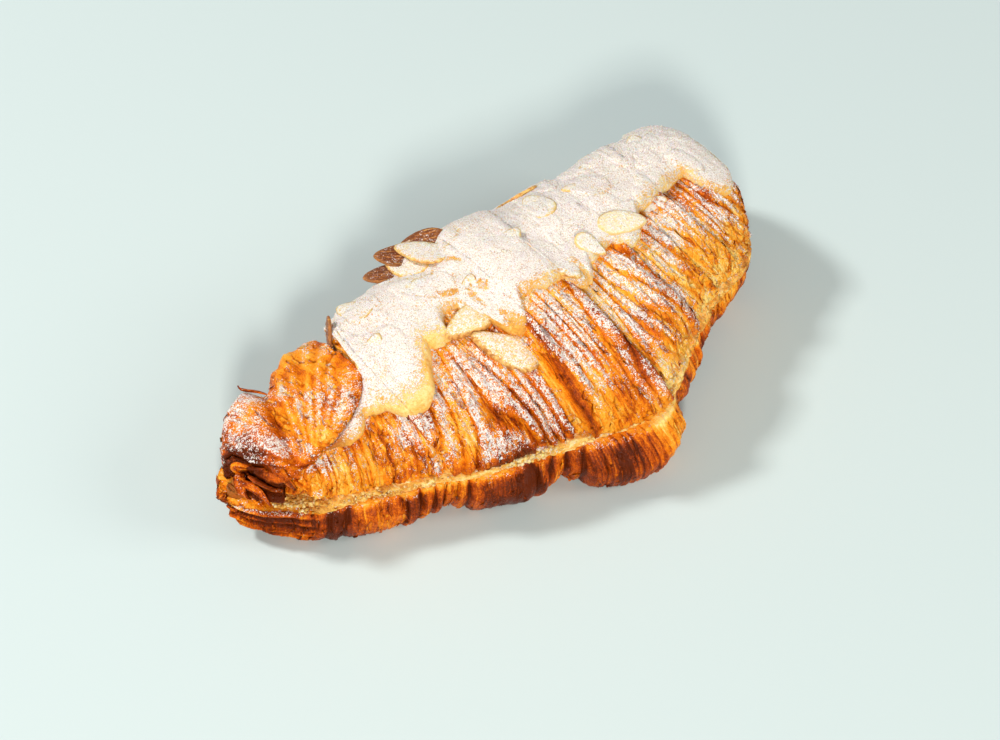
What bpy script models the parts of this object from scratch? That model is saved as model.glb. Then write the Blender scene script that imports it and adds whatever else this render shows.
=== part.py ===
"""A baked almond croissant: a croissant split in two, with almond filling between its halves and an
almond cream topping set with sliced almonds. Metres, +Z up. It lies along X and bulges towards -Y."""

import math

import bmesh
import bpy
import numpy as np
from mathutils import Matrix

# ---------------------------------------------------------------- driving dimensions, metres
LENGTH = 0.186
GAP = 0.0003  # free space that touching solids keep
SAG = 0.0004  # most by which a facet of the topping cuts the corner of the curve under it
CAP_LENGTH = 0.021  # axial length of each rounded end
CAP_ROUND = 2.5  # 2 is an ellipse, more is blunter
CAP_ARC = 1.55  # length of the path over an end, for each unit of its axial length
DOME_ROUND = 2.2  # of the section above the split
FOOT_ROUND = 3.6  # of the section below the split
FOOT_SINK = 1.05  # the foot's curve dips this much below the ground and is cut flat there
FILLING = 0.0024  # height of the filling that shows at the split
GAPE = 0.0040  # how much further the split opens at the left end
GAPE_FROM, GAPE_LENGTH = -0.066, 0.016
FILLING_INSET, FILLING_DRAWN, FILLING_WAVE = 0.0008, 0.006, 0.0012  # from the edge, also in the gape
LEDGE = 0.0012  # how far the lower half stands out past the upper one

# The lines plan: nine evenly spaced stations from the left end to the right
FRONT = (0.014, 0.024, 0.034, 0.0435, 0.049, 0.0515, 0.036, 0.0245, 0.0195)
BACK = (0.0115, 0.0175, 0.0200, 0.0250, 0.028, 0.0275, 0.027, 0.030, 0.036)
TOP = (0.0265, 0.0330, 0.0370, 0.042, 0.0445, 0.045, 0.044, 0.042, 0.0395)
SPLIT = (0.0125, 0.0145, 0.016, 0.017, 0.017, 0.017, 0.0165, 0.016, 0.015)
CROWN = (0.000, 0.000, -0.001, -0.003, -0.006, -0.004, 0.001, 0.006, 0.007)

# Rolled tiers of the upper half: where the edge meets the split, the way it faces, how far it leans
# to the left by the crown, its height, and how far the tier runs back before it is level again
TIERS = (
    (-0.040, -1, 0.008, 0.0018, 0.026),
    (-0.003, -1, 0.006, 0.0032, 0.032),
    (0.025, 1, 0.013, 0.0022, 0.028),
    (0.050, 1, 0.014, 0.0018, 0.020),
    (0.064, 1, 0.015, 0.0012, 0.014),
    (0.076, 1, 0.016, 0.0016, 0.014),
)
STEP = 0.0028  # length over which a tier's edge drops
# The left end's tier is a flap with a curved edge, given by its place at the split and over the
# crown, and by the share of the way over the dome where it starts to turn and how long it takes
FLAP_FOOT, FLAP_REACH = -0.084, 0.034
FLAP_START, FLAP_SPAN = 0.12, 0.36
FLAP_HEIGHT, FLAP_LENGTH = 0.0026, 0.026
FLAP_CLEAR = 0.0018  # between the flap and the topping

# Lobes of the lower half along its front: middle, half-length, depth
LOBES = (
    (-0.062, 0.020, 0.0030),
    (-0.025, 0.016, 0.0040),
    (0.011, 0.019, 0.0095),
    (0.043, 0.010, 0.0022),
    (0.064, 0.009, 0.0005),
)
SHOULDER, RIM_SHARE = 0.12, 0.35  # the bulges round in towards the split, to this share of their depth
WALL = 0.22  # share of the foot's half-turn over which its wall rises from the underside
PLEAT_PITCH, DOME_PLEAT, FOOT_PLEAT = 0.0067, 0.0003, 0.0007
PLEAT_SWAY, PLEAT_SHIFT = 0.0016, 0.0011  # how far the pleats wander off the straight

# Topping: its extent along the length, its base line at the front and back as shares of the way over
# the dome, and the lobes in which it ran down the front: middle, half-length, reach
TOPPING_THICK, TOPPING_EDGE, TOPPING_ROUND = 0.0032, 0.0004, 0.0030
TOPPING_SWELL = 0.15  # share by which its thickness swells and thins
TOPPING_FROM, TOPPING_TO = -0.074, 0.094
TOPPING_TAPERS = (0.010, 0.012)  # length over which it narrows to nothing at the left and right
TOPPING_FRONT, TOPPING_BACK = 0.42, 0.84
TOPPING_LOBES = (
    (-0.055, 0.022, 0.09),
    (-0.066, 0.010, 0.08),
    (-0.040, 0.010, 0.08),
    (-0.0105, 0.0075, 0.15),
    (0.018, 0.006, 0.04),
    (0.041, 0.007, 0.05),
    (0.083, 0.011, 0.13),
)

# Sliced almonds: place along the length, share of the way over the dome, heading and lift of the
# pointed end in degrees, and size
SLICE_LENGTH, SLICE_WIDTH, SLICE_THICK = 0.0155, 0.0088, 0.0011
SLICE_BLUNT = 0.35  # how much wider the blunt end is than the pointed one
SLICE_SUNK = 0.0012  # how much lower a lifted slice lies than if only its low end met the cream
SLICES = (
    (-0.0140, 0.36, 250, 3, 1.00),
    (-0.0215, 0.47, 200, 4, 0.80),
    (0.0355, 0.43, 8, 4, 1.05),
    (0.0270, 0.45, 20, 4, 0.75),
    (0.0550, 0.42, 30, 4, 0.65),
    (0.0140, 0.44, 280, 3, 0.90),
    (-0.0110, 0.49, 60, 4, 0.85),
    (-0.0180, 0.60, 150, 5, 1.00),
    (0.0060, 0.56, 20, 4, 1.00),
    (-0.0135, 0.72, 110, 10, 0.95),
    (-0.0125, 0.64, 95, 8, 1.20),
    (-0.0050, 0.745, 155, 27, 1.10),
    (-0.0145, 0.750, 150, 24, 0.95),
    (-0.0195, 0.76, 150, 18, 0.90),
    (0.0260, 0.64, 75, 4, 1.00),
    (0.0420, 0.60, 140, 4, 0.90),
    (0.0500, 0.74, 15, 5, 1.00),
    (0.0680, 0.62, 60, 4, 0.90),
    (0.0280, 0.78, 160, 6, 1.00),
    (-0.0370, 0.70, 100, 5, 0.95),
    (-0.0440, 0.48, 40, 4, 0.85),
)

SECTIONS = 104  # cross-sections along the length
DOME_POINTS, FOOT_POINTS, FLAT_POINTS = 17, 12, 2
FILLING_SECTIONS = 52
TOPPING_POINTS = 11
TOPPING_SPREAD = (1 - np.cos(np.linspace(0, math.pi, TOPPING_POINTS))) / 2  # closer at the edges

# Colour and roughness of each piece
FINISHES = {
    "lower_half": ((0.58, 0.27, 0.07), 0.42),
    "almond_filling": ((0.88, 0.72, 0.40), 0.70),
    "upper_half": ((0.62, 0.29, 0.07), 0.45),
    "almond_topping": ((0.93, 0.87, 0.76), 0.85),
}


# ---------------------------------------------------------------- the smooth croissant
def along(x, values):
    """Smooth curve through evenly spaced stations, read at x."""
    v = np.asarray(values, float)
    slope = np.gradient(v)
    t = np.clip((x / LENGTH + 0.5) * (len(v) - 1), 0, len(v) - 1)
    i = np.minimum(t.astype(int), len(v) - 2)
    f = t - i
    rise = v[i + 1] - v[i]
    return v[i] + f * (slope[i] + f * (3 * rise - 2 * slope[i] - slope[i + 1]
                                       + f * (slope[i] + slope[i + 1] - 2 * rise)))


def meridian(w):
    """Place along X and scale of the section, for a path that runs from -1 to 1 over both ends."""
    flat, arc = LENGTH / 2 - CAP_LENGTH, CAP_LENGTH * CAP_ARC
    path = np.abs(w) * (flat + arc)
    t = np.clip((path - flat) / arc, 0, 1) * math.pi / 2
    rho = (np.cos(t) ** CAP_ROUND + np.sin(t) ** CAP_ROUND) ** (-1 / CAP_ROUND)
    return np.sign(w) * (np.minimum(path, flat) + CAP_LENGTH * rho * np.sin(t)), rho * np.cos(t)


def rolled(w):
    """Path length along the croissant, which runs on over the rounded ends."""
    return w * (LENGTH / 2 - CAP_LENGTH + CAP_LENGTH * CAP_ARC)


def split_gap(x):
    """Height of the opening between the halves."""
    return FILLING + GAPE * smooth_step((GAPE_FROM - x) / GAPE_LENGTH)


def smooth_step(t):
    t = np.clip(t, 0, 1)
    return t * t * (3 - 2 * t)


def hump(t):
    """1 in the middle, 0 from -1 and 1 outwards."""
    return np.clip(1 - np.abs(t) ** 2.4, 0, 1)


def section(w, turn, upper):
    """Points of the smooth body. turn runs over the dome from 0, the front of the split, to 1, its
    back, or under the foot from 1 at the back to 2 at the front."""
    x, scale = meridian(w)
    angle = math.pi * (1 - turn)
    c, s = np.cos(angle), np.sin(angle)
    n = DOME_ROUND if upper else FOOT_ROUND
    rho = (np.abs(c) ** n + np.abs(s) ** n) ** (-1 / n)
    split, crown = along(x, SPLIT), along(x, CROWN)
    floor = split + split_gap(x) if upper else split
    height = along(x, TOP) - floor if upper else split * FOOT_SINK
    width = np.where(c < 0, along(x, FRONT) + crown, along(x, BACK) - crown)
    return np.stack([x + 0 * rho, crown + scale * width * rho * c,
                     floor + scale * height * rho * s], -1)


def normals(points):
    """Outward normals of a grid of points whose rows follow the length."""
    normal = np.cross(np.gradient(points, axis=0), np.gradient(points, axis=1))
    return normal / np.maximum(np.linalg.norm(normal, axis=-1, keepdims=True), 1e-12)


# ---------------------------------------------------------------- relief
def flap_edge(turn):
    """Place of the flap's edge along the length."""
    return FLAP_FOOT + FLAP_REACH * smooth_step((turn - FLAP_START) / FLAP_SPAN)


def flap_turn(lay):
    """The same edge read the other way: where along the dome it crosses a section."""
    share = np.clip((lay - FLAP_FOOT) / FLAP_REACH, 0, 1)
    return FLAP_START + FLAP_SPAN * (0.5 - np.sin(np.arcsin(1 - 2 * share) / 3))


def tier_step(inward, height, length):
    """A tier is full height at its edge and sinks away behind it."""
    return height * smooth_step(inward / STEP) * (1 - smooth_step(inward / length))


def tier_relief(lay, turn):
    """Steps of the rolled tiers."""
    over = np.sin(math.pi * np.clip(turn, 0, 1))
    relief = tier_step(flap_edge(turn) - lay, FLAP_HEIGHT, FLAP_LENGTH)
    for place, facing, lean, height, length in TIERS:
        relief += tier_step((place - lean * over - lay) * facing, height, length)
    return relief


def pleats(lay, turn):
    """Folds of the lamination, which run round the croissant, from -1 to 1."""
    wander = PLEAT_SWAY * np.sin(lay / 0.013 + 2.1 * turn) + PLEAT_SHIFT * np.sin(lay / 0.0071)
    return np.sin(2 * math.pi * (lay + wander) / PLEAT_PITCH)


def dome(w, turn):
    """Outer surface of the upper half with its relief, as a grid."""
    points = section(w, turn, upper=True)
    floor = points[:, :1, 2]
    lay = rolled(w)
    relief = tier_relief(lay, turn) + DOME_PLEAT * pleats(lay, turn)
    points += normals(points) * relief[..., None]
    points[..., 2] = np.maximum(points[..., 2], floor)
    return points


def foot(w, turn):
    """Outer surface of the lower half: pleated, and bulging in lobes along its front."""
    points = section(w, turn, upper=False)
    ceiling = points[:, :1, 2]
    lay = rolled(w)
    bulge = sum(depth * hump((lay - middle) / half) for middle, half, depth in LOBES)
    front = smooth_step((turn - 1.5) / WALL)
    wall = smooth_step(np.abs(turn - 1.5) / WALL)
    relief = wall * (LEDGE + FOOT_PLEAT * pleats(lay, turn)) + bulge * front
    rim = np.minimum(turn - 1, 2 - turn) / SHOULDER
    relief *= RIM_SHARE + (1 - RIM_SHARE) * smooth_step(rim)
    points += normals(points) * relief[..., None]
    points[..., 2] = np.clip(points[..., 2], 0, ceiling)
    return points


# ---------------------------------------------------------------- meshes
def grid(sections, turns):
    return np.meshgrid(np.linspace(-1, 1, sections), turns, indexing="ij")


def flat_between(start, end, count):
    """Points strictly between two edges, which close a ring across the split."""
    share = np.linspace(0, 1, count + 2)[1:-1][None, :, None]
    return start[:, None] * (1 - share) + end[:, None] * share


def add_mesh(name, points, faces, smooth=True):
    mesh = bpy.data.meshes.new(name)
    mesh.from_pydata([tuple(point) for point in points], [], faces)
    mesh.polygons.foreach_set("use_smooth", [smooth] * len(faces))
    made = bpy.data.objects.new(name, mesh)
    bpy.context.collection.objects.link(made)
    return made


def lofted(name, rings):
    """A closed body through a row of closed rings. The first and last rings close to a point."""
    count, around = len(rings) - 2, rings.shape[1]
    points = [rings[0].mean(0), *rings[1:-1].reshape(-1, 3), rings[-1].mean(0)]
    faces = []
    for j in range(around):
        k = (j + 1) % around
        faces.append((0, 1 + j, 1 + k))
        for i in range(count - 1):
            a = 1 + i * around
            faces.append((a + k, a + j, a + around + j, a + around + k))
        a = 1 + (count - 1) * around
        faces.append((a + k, a + j, len(points) - 1))
    made = add_mesh(name, points, faces)
    made.data.materials.append(bpy.data.materials[name])
    return made


def make_half(name, shell):
    across = flat_between(shell[:, -1], shell[:, 0], FLAT_POINTS)
    return lofted(name, np.concatenate([shell, across], axis=1))


def make_filling():
    """The layer between the halves. It draws back where the split gapes at the left end."""
    w, turn = grid(FILLING_SECTIONS, np.array([1.0, 2.0]))
    edge = section(w, turn, upper=False)
    lay = rolled(w)
    inset = FILLING_INSET + FILLING_DRAWN * smooth_step((GAPE_FROM - lay) / GAPE_LENGTH)
    inset -= FILLING_WAVE * np.sin(lay / 0.0045) * np.sin(lay / 0.017)
    middle = edge.mean(1, keepdims=True)
    half = np.linalg.norm(edge - middle, axis=-1)
    edge = middle + (edge - middle) * np.clip(1 - inset / np.maximum(half, 1e-6), 0.3, 1.1)[..., None]
    low, high = edge + (0, 0, GAP), edge + (0, 0, FILLING - GAP)
    rings = [high[:, 1:], flat_between(high[:, 1], high[:, 0], FLAT_POINTS), high[:, :1],
             low[:, :1], flat_between(low[:, 0], low[:, 1], FLAT_POINTS), low[:, 1:]]
    return lofted("almond_filling", np.concatenate(rings, axis=1))


# ---------------------------------------------------------------- topping and almonds
def topping_reach(lay):
    """Where the topping starts and ends on the dome, and how much of it is left, section by section."""
    lobes = sum(reach * hump((lay - middle) / half) for middle, half, reach in TOPPING_LOBES)
    front = TOPPING_FRONT - lobes
    clear = lay - FLAP_CLEAR
    past_flap = smooth_step((clear - FLAP_FOOT - FLAP_REACH) / 0.006)
    back = TOPPING_BACK + 0.02 * np.sin(lay / 0.006)
    back = flap_turn(clear) * (1 - past_flap) + back * past_flap
    left, right = TOPPING_TAPERS
    taper = smooth_step((lay - TOPPING_FROM) / left) * smooth_step((TOPPING_TO - lay) / right)
    middle, half = (front + back) / 2, np.maximum(back - front, 0.02) / 2 * np.sqrt(taper)
    return middle - half, middle + half, taper


def read_rows(rows, turns):
    """Points on each row of the dome at that row's own turns."""
    known = np.linspace(0, 1, rows.shape[1])
    return np.stack([[np.interp(t, known, row[:, axis]) for t, row in zip(turns, rows)]
                     for axis in range(3)], -1)


def topping_surface(shell, w):
    """The topping's rings of turns, and its lower and upper faces on the given rows of the dome."""
    lay = rolled(w[:, :1])
    start, end, taper = topping_reach(lay)
    turns = start + (end - start) * TOPPING_SPREAD
    around = np.linalg.norm(np.diff(shell, axis=1), axis=-1).sum(1, keepdims=True)
    inside = np.clip(np.minimum(turns - start, end - turns) * around / TOPPING_ROUND, 0, 1)
    thick = TOPPING_THICK * (1 + TOPPING_SWELL * np.sin(lay / 0.007) * np.sin(turns / 0.05))
    thick = thick * np.sqrt(1 - (1 - inside) ** 2) * np.sqrt(taper) + TOPPING_EDGE
    out = read_rows(normals(shell), turns)
    low = read_rows(shell, turns) + out * (GAP + SAG)
    return low, low + out * thick[..., None]


def make_topping(shell, w):
    lay = rolled(w[:, 0])
    rows = (lay > TOPPING_FROM) & (lay < TOPPING_TO)
    low, high = topping_surface(shell[rows], w[rows])
    body = lofted("almond_topping", np.concatenate([high, low[:, ::-1]], axis=1))
    return body, high, lay[rows]


def slice_outline(size):
    """Outline of an almond slice: blunt at one end and pointed at the other."""
    angle = np.linspace(0, 2 * math.pi, 9)[:-1]
    x = np.cos(angle) * SLICE_LENGTH / 2
    y = np.sin(angle) * SLICE_WIDTH / 2 * (1 - SLICE_BLUNT * np.cos(angle))
    return np.stack([x, y], -1) * size


def make_slice(high, lays, place, turn, heading, lift, size):
    """A flat slice laid on the topping, part sunk into it."""
    i = int(np.clip(np.searchsorted(lays, place), 1, len(lays) - 2))
    start, end, _ = topping_reach(lays[i])
    j = np.interp((turn - start) / (end - start), TOPPING_SPREAD, np.arange(TOPPING_POINTS))
    j = int(np.clip(round(float(j)), 1, TOPPING_POINTS - 2))
    ahead = high[i + 1, j] - high[i - 1, j]
    ahead /= np.linalg.norm(ahead)
    over = high[i, j + 1] - high[i, j - 1]
    up = np.cross(ahead, over)
    up /= np.linalg.norm(up)
    over = np.cross(up, ahead)
    h, p = math.radians(heading), math.radians(lift)
    level = ahead * math.cos(h) + over * math.sin(h)
    long_axis = level * math.cos(p) + up * math.sin(p)
    face = np.cross(long_axis, np.cross(up, level))
    wide = np.cross(face, long_axis)
    outline = slice_outline(size)
    middle = high[i, j] + up * max(size * SLICE_LENGTH / 2 * math.sin(p) - SLICE_SUNK, 0)
    flat = middle + outline[:, :1] * long_axis + outline[:, 1:] * wide
    rings = [flat - face * SLICE_THICK / 2, flat + face * SLICE_THICK / 2]
    points = np.concatenate(rings)
    n = len(outline)
    faces = [tuple(range(n))[::-1], tuple(range(n, 2 * n))]
    faces += [(k, (k + 1) % n, n + (k + 1) % n, n + k) for k in range(n)]
    return add_mesh("slice", points, faces, smooth=False)


def fuse(body, extras):
    """One closed body of the topping and its slices. A hollow or a scrap left by the union goes."""
    group = bpy.data.collections.new("fused")
    for extra in extras:
        group.objects.link(extra)
        bpy.context.collection.objects.unlink(extra)
    modifier = body.modifiers.new("union", "BOOLEAN")
    modifier.operation = "UNION"
    modifier.operand_type = "COLLECTION"
    modifier.collection = group
    modifier.solver = "EXACT"
    graph = bpy.context.evaluated_depsgraph_get()
    united = bpy.data.meshes.new_from_object(body.evaluated_get(graph), depsgraph=graph)
    body.modifiers.clear()
    body.data = united
    for extra in extras:
        bpy.data.objects.remove(extra)
    bpy.data.collections.remove(group)
    keep_largest(body)


def keep_largest(body):
    shape = bmesh.new()
    shape.from_mesh(body.data)
    islands, seen = [], set()
    for first in shape.verts:
        if first in seen:
            continue
        island, front = {first}, [first]
        while front:
            near = {e.other_vert(v) for v in front for e in v.link_edges} - island
            island |= near
            front = list(near)
        seen |= island
        islands.append(island)
    largest = max(islands, key=len)
    loose = [v for v in shape.verts if v not in largest]
    bmesh.ops.delete(shape, geom=loose, context="VERTS")
    shape.to_mesh(body.data)
    shape.free()


# ---------------------------------------------------------------- the whole
def clear_workspace():
    for thing in list(bpy.data.objects):
        bpy.data.objects.remove(thing, do_unlink=True)
    for name, (colour, roughness) in FINISHES.items():
        material = bpy.data.materials.new(name)
        material.use_nodes = True
        shader = material.node_tree.nodes["Principled BSDF"]
        shader.inputs["Base Color"].default_value = (*colour, 1)
        shader.inputs["Roughness"].default_value = roughness


def centre_all():
    """Puts the origin at the middle of the underside."""
    bodies = list(bpy.context.collection.objects)
    points = np.array([v.co for body in bodies for v in body.data.vertices])
    middle = (points.min(0) + points.max(0)) / 2
    for body in bodies:
        body.data.transform(Matrix.Translation((-middle[0], -middle[1], -points[:, 2].min())))


def main():
    clear_workspace()
    make_half("lower_half", foot(*grid(SECTIONS, np.linspace(1, 2, FOOT_POINTS))))
    make_filling()
    w, turn = grid(SECTIONS, np.linspace(0, 1, DOME_POINTS))
    shell = dome(w, turn)
    make_half("upper_half", shell)
    topping, high, lays = make_topping(shell, w)
    fuse(topping, [make_slice(high, lays, *entry) for entry in SLICES])
    centre_all()


main()
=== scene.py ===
# %% [markdown]
# # The looks of a baked almond croissant
#
# The object is a croissant that was cut in two, spread with almond cream, closed, topped with more
# almond cream and sliced almonds, baked again and dusted with icing sugar. The solids that give its
# size are already packed. Here each of them is replaced by a far finer mesh of the same form, and
# each gets a procedural material: crust, cream, almond and sugar.
#
# Everything is in metres. The croissant lies along X, narrow end at -X, and bulges towards -Y.

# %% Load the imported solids
import math

import bpy
import numpy as np
from mathutils import Matrix, Vector


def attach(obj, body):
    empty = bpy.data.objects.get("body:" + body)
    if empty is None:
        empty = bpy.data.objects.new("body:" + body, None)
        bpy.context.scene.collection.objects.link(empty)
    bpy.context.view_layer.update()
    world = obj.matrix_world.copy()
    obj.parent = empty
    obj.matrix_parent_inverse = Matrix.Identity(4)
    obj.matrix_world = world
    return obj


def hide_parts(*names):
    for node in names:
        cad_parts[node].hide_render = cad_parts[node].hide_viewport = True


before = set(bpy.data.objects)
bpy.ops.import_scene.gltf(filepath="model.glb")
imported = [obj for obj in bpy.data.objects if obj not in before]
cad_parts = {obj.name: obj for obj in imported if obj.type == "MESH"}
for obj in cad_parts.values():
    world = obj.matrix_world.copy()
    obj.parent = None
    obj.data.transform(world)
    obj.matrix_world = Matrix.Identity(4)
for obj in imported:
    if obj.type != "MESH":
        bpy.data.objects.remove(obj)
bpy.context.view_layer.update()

# %% [markdown]
# ## Camera, floor and light
#
# Pastry is photographed from above at about 45 degrees, with one soft light behind it and a strong
# fill in front, so that the layers cast short shadows and the sugar stays bright. The camera
# is set from its direction and distance. A long lens keeps the perspective flat, as food
# photographers like it.

# %% Camera
CAMERA_AZIMUTH, CAMERA_ELEVATION = math.radians(-37.5), math.radians(47)
CAMERA_PLACE = (-0.30872, -0.39201, 0.55053)
CAMERA_LENS, CAMERA_SENSOR = 90, 36  # millimetres


def add_camera():
    a, e = CAMERA_AZIMUTH, CAMERA_ELEVATION
    back = Vector((math.sin(a) * math.cos(e), -math.cos(a) * math.cos(e), math.sin(e)))
    right = Vector((math.cos(a), math.sin(a), 0))
    turn = Matrix((right, back.cross(right), back)).transposed()
    data = bpy.data.cameras.new("camera")
    data.lens, data.sensor_width = CAMERA_LENS, CAMERA_SENSOR
    camera = bpy.data.objects.new("camera", data)
    camera.matrix_world = Matrix.Translation(CAMERA_PLACE) @ turn.to_4x4()
    bpy.context.scene.collection.objects.link(camera)
    bpy.context.scene.camera = camera


add_camera()


# %% Lights
# Name, place, watts, size, colour
LIGHTS = (
    ("window", (-0.80, 0.90, 1.25), 20, 0.24, (1.0, 0.97, 0.93)),
    ("front_fill", (-1.00, -1.32, 0.95), 29, 0.26, (1.0, 0.94, 0.86)),
    ("right_fill", (1.20, -1.20, 1.00), 11.5, 0.7, (1.0, 0.96, 0.90)),
)
LIGHTS_AIM = Vector((0, 0, 0.02))
ROOM_COLOUR, ROOM_STRENGTH = (0.93, 0.97, 1.0, 1), 0.23


def add_lights():
    for name, place, watts, size, colour in LIGHTS:
        data = bpy.data.lights.new(name, "AREA")
        data.energy, data.size, data.color = watts, size, colour
        light = bpy.data.objects.new(name, data)
        light.location = place
        light.rotation_euler = (Vector(place) - LIGHTS_AIM).to_track_quat("Z", "Y").to_euler()
        bpy.context.scene.collection.objects.link(light)
    world = bpy.data.worlds.new("room")
    world.use_nodes = True
    background = world.node_tree.nodes["Background"]
    background.inputs["Color"].default_value = ROOM_COLOUR
    background.inputs["Strength"].default_value = ROOM_STRENGTH
    bpy.context.scene.world = world
    bpy.context.scene.view_settings.view_transform = "Standard"


add_lights()


# %% Floor
FLOOR_HALF, FLOOR_COLOUR, FLOOR_ROUGHNESS = 3.0, (0.60, 0.71, 0.715, 1), 0.7


def add_floor():
    h = FLOOR_HALF
    mesh = bpy.data.meshes.new("floor")
    mesh.from_pydata([(-h, -h, 0), (h, -h, 0), (h, h, 0), (-h, h, 0)], [], [(0, 1, 2, 3)])
    material = bpy.data.materials.new("floor")
    material.use_nodes = True
    shader = material.node_tree.nodes["Principled BSDF"]
    shader.inputs["Base Color"].default_value = FLOOR_COLOUR
    shader.inputs["Roughness"].default_value = FLOOR_ROUGHNESS
    mesh.materials.append(material)
    floor = bpy.data.objects.new("floor", mesh)
    bpy.context.scene.collection.objects.link(floor)


add_floor()

# %% [markdown]
# ## The form that all pieces share
#
# A croissant is a strip of dough rolled up, so its surface has two natural directions: *lay*, the
# way along it, and *turn*, the way round it. Every piece below is computed from those two numbers.
# The body is drawn like a boat's hull: a few cross-sections, a smooth curve through them, and ends
# that close in rings. Sculpting could give the same form, but numbers can be measured and moved.
# These are the sizes of the solids, so each fine piece stays where its solid is.

# %% Sizes and the lines plan
LENGTH = 0.186
CENTRE = np.array([0.00022, -0.01450, 0.0])  # from the drawing's origin to the middle of the underside
CAP_LENGTH, CAP_ROUND = 0.021, 2.5
PATH_HALF = LENGTH / 2 - CAP_LENGTH + CAP_LENGTH * 1.55
DOME_ROUND, FOOT_ROUND, FOOT_SINK = 2.2, 3.6, 1.05
FILLING, GAPE, GAPE_FROM, GAPE_LENGTH = 0.0024, 0.0040, -0.066, 0.016
FRONT = (0.014, 0.024, 0.034, 0.0435, 0.049, 0.0515, 0.036, 0.0245, 0.0195)
BACK = (0.0115, 0.0175, 0.0200, 0.0250, 0.028, 0.0275, 0.027, 0.030, 0.036)
TOP = (0.0265, 0.0330, 0.0370, 0.042, 0.0445, 0.045, 0.044, 0.042, 0.0395)
SPLIT = (0.0125, 0.0145, 0.016, 0.017, 0.017, 0.017, 0.0165, 0.016, 0.015)
CROWN = (0.000, 0.000, -0.001, -0.003, -0.006, -0.004, 0.001, 0.006, 0.007)


def along(x, values):
    """Smooth curve through evenly spaced stations, read at x."""
    v = np.asarray(values, float)
    slope = np.gradient(v)
    t = np.clip((x / LENGTH + 0.5) * (len(v) - 1), 0, len(v) - 1)
    i = np.minimum(t.astype(int), len(v) - 2)
    f = t - i
    rise = v[i + 1] - v[i]
    return v[i] + f * (slope[i] + f * (3 * rise - 2 * slope[i] - slope[i + 1]
                                       + f * (slope[i] + slope[i + 1] - 2 * rise)))


def smooth_step(t):
    t = np.clip(t, 0, 1)
    return t * t * (3 - 2 * t)


def ramp_up(x, start, width):
    """0 up to start, and 1 from start + width on."""
    return smooth_step((x - start) / width)


def ramp_down(x, end, width):
    """1 up to end - width, and 0 from end on."""
    return smooth_step((end - x) / width)


def hump(t, power=2.4):
    return np.clip(1 - np.abs(t) ** power, 0, 1)


def bell(t):
    return np.exp(-t * t)


def near(x, place, width):
    """1 at a place, and fading on both sides of it."""
    return bell((x - place) / width)


# %% Cross-sections
def section(lay, turn, upper):
    """The smooth body. turn runs over the dome from 0, the front of the split, to 1, its back, or
    under the foot from 1 at the back to 2 at the front."""
    flat = LENGTH / 2 - CAP_LENGTH
    t = np.clip((np.abs(lay) - flat) / (PATH_HALF - flat), 0, 1) * math.pi / 2
    cap = (np.cos(t) ** CAP_ROUND + np.sin(t) ** CAP_ROUND) ** (-1 / CAP_ROUND)
    x = np.sign(lay) * (np.minimum(np.abs(lay), flat) + CAP_LENGTH * cap * np.sin(t))
    scale = cap * np.cos(t)
    angle = math.pi * (1 - turn)
    c, s = np.cos(angle), np.sin(angle)
    n = DOME_ROUND if upper else FOOT_ROUND
    rho = (np.abs(c) ** n + np.abs(s) ** n) ** (-1 / n)
    split, crown = along(x, SPLIT), along(x, CROWN)
    gap = FILLING + GAPE * ramp_down(x, GAPE_FROM, GAPE_LENGTH)
    floor = split + gap if upper else split
    height = along(x, TOP) - floor if upper else split * FOOT_SINK
    width = np.where(c < 0, along(x, FRONT) + crown, along(x, BACK) - crown)
    return np.stack([x + 0 * rho, crown + scale * width * rho * c,
                     floor + scale * height * rho * s], -1) - CENTRE


def unit(vectors, least=1e-12):
    """Vectors of length 1 with the same directions."""
    return vectors / np.maximum(np.linalg.norm(vectors, axis=-1, keepdims=True), least)


def frame_of(points):
    """Unit vectors of a grid: outward, and along the length."""
    ahead = np.gradient(points, axis=0)
    return unit(np.cross(ahead, np.gradient(points, axis=1))), unit(ahead)


print("smooth height at the middle, mm:", round(float(along(np.array(0.0), TOP)) * 1000, 1))

# %% [markdown]
# Nothing baked repeats exactly, so most shapes below are stirred with *noise*: a smooth random
# function of lay and turn. It is worked out from a fixed formula, so the same croissant comes out
# of every run.


# %% Noise
def scatter(i, j, seed):
    """A fixed random number from 0 to 1 for each pair of whole numbers."""
    h = np.sin(i * 127.1 + j * 311.7 + seed * 74.7) * 43758.5453
    return h - np.floor(h)


def noise(u, v, seed):
    """Smooth noise from -1 to 1, one bump to each unit of u and v."""
    u, v = np.broadcast_arrays(u, v)
    i, j = np.floor(u), np.floor(v)
    f, g = smooth_step(u - i), smooth_step(v - j)
    low = scatter(i, j, seed) * (1 - f) + scatter(i + 1, j, seed) * f
    high = scatter(i, j + 1, seed) * (1 - f) + scatter(i + 1, j + 1, seed) * f
    return 2 * (low * (1 - g) + high * g) - 1


def fractal(u, v, seed, octaves=4):
    """Noise with ever finer noise added. Each layer is turned, so that no grid shows."""
    total = 0.0
    for k in range(octaves):
        c, s = 2 ** k * math.cos(0.6 + 1.1 * k), 2 ** k * math.sin(0.6 + 1.1 * k)
        total = total + noise(c * u - s * v, s * u + c * v, seed + k) / 2 ** k
    return total / 1.6
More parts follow.
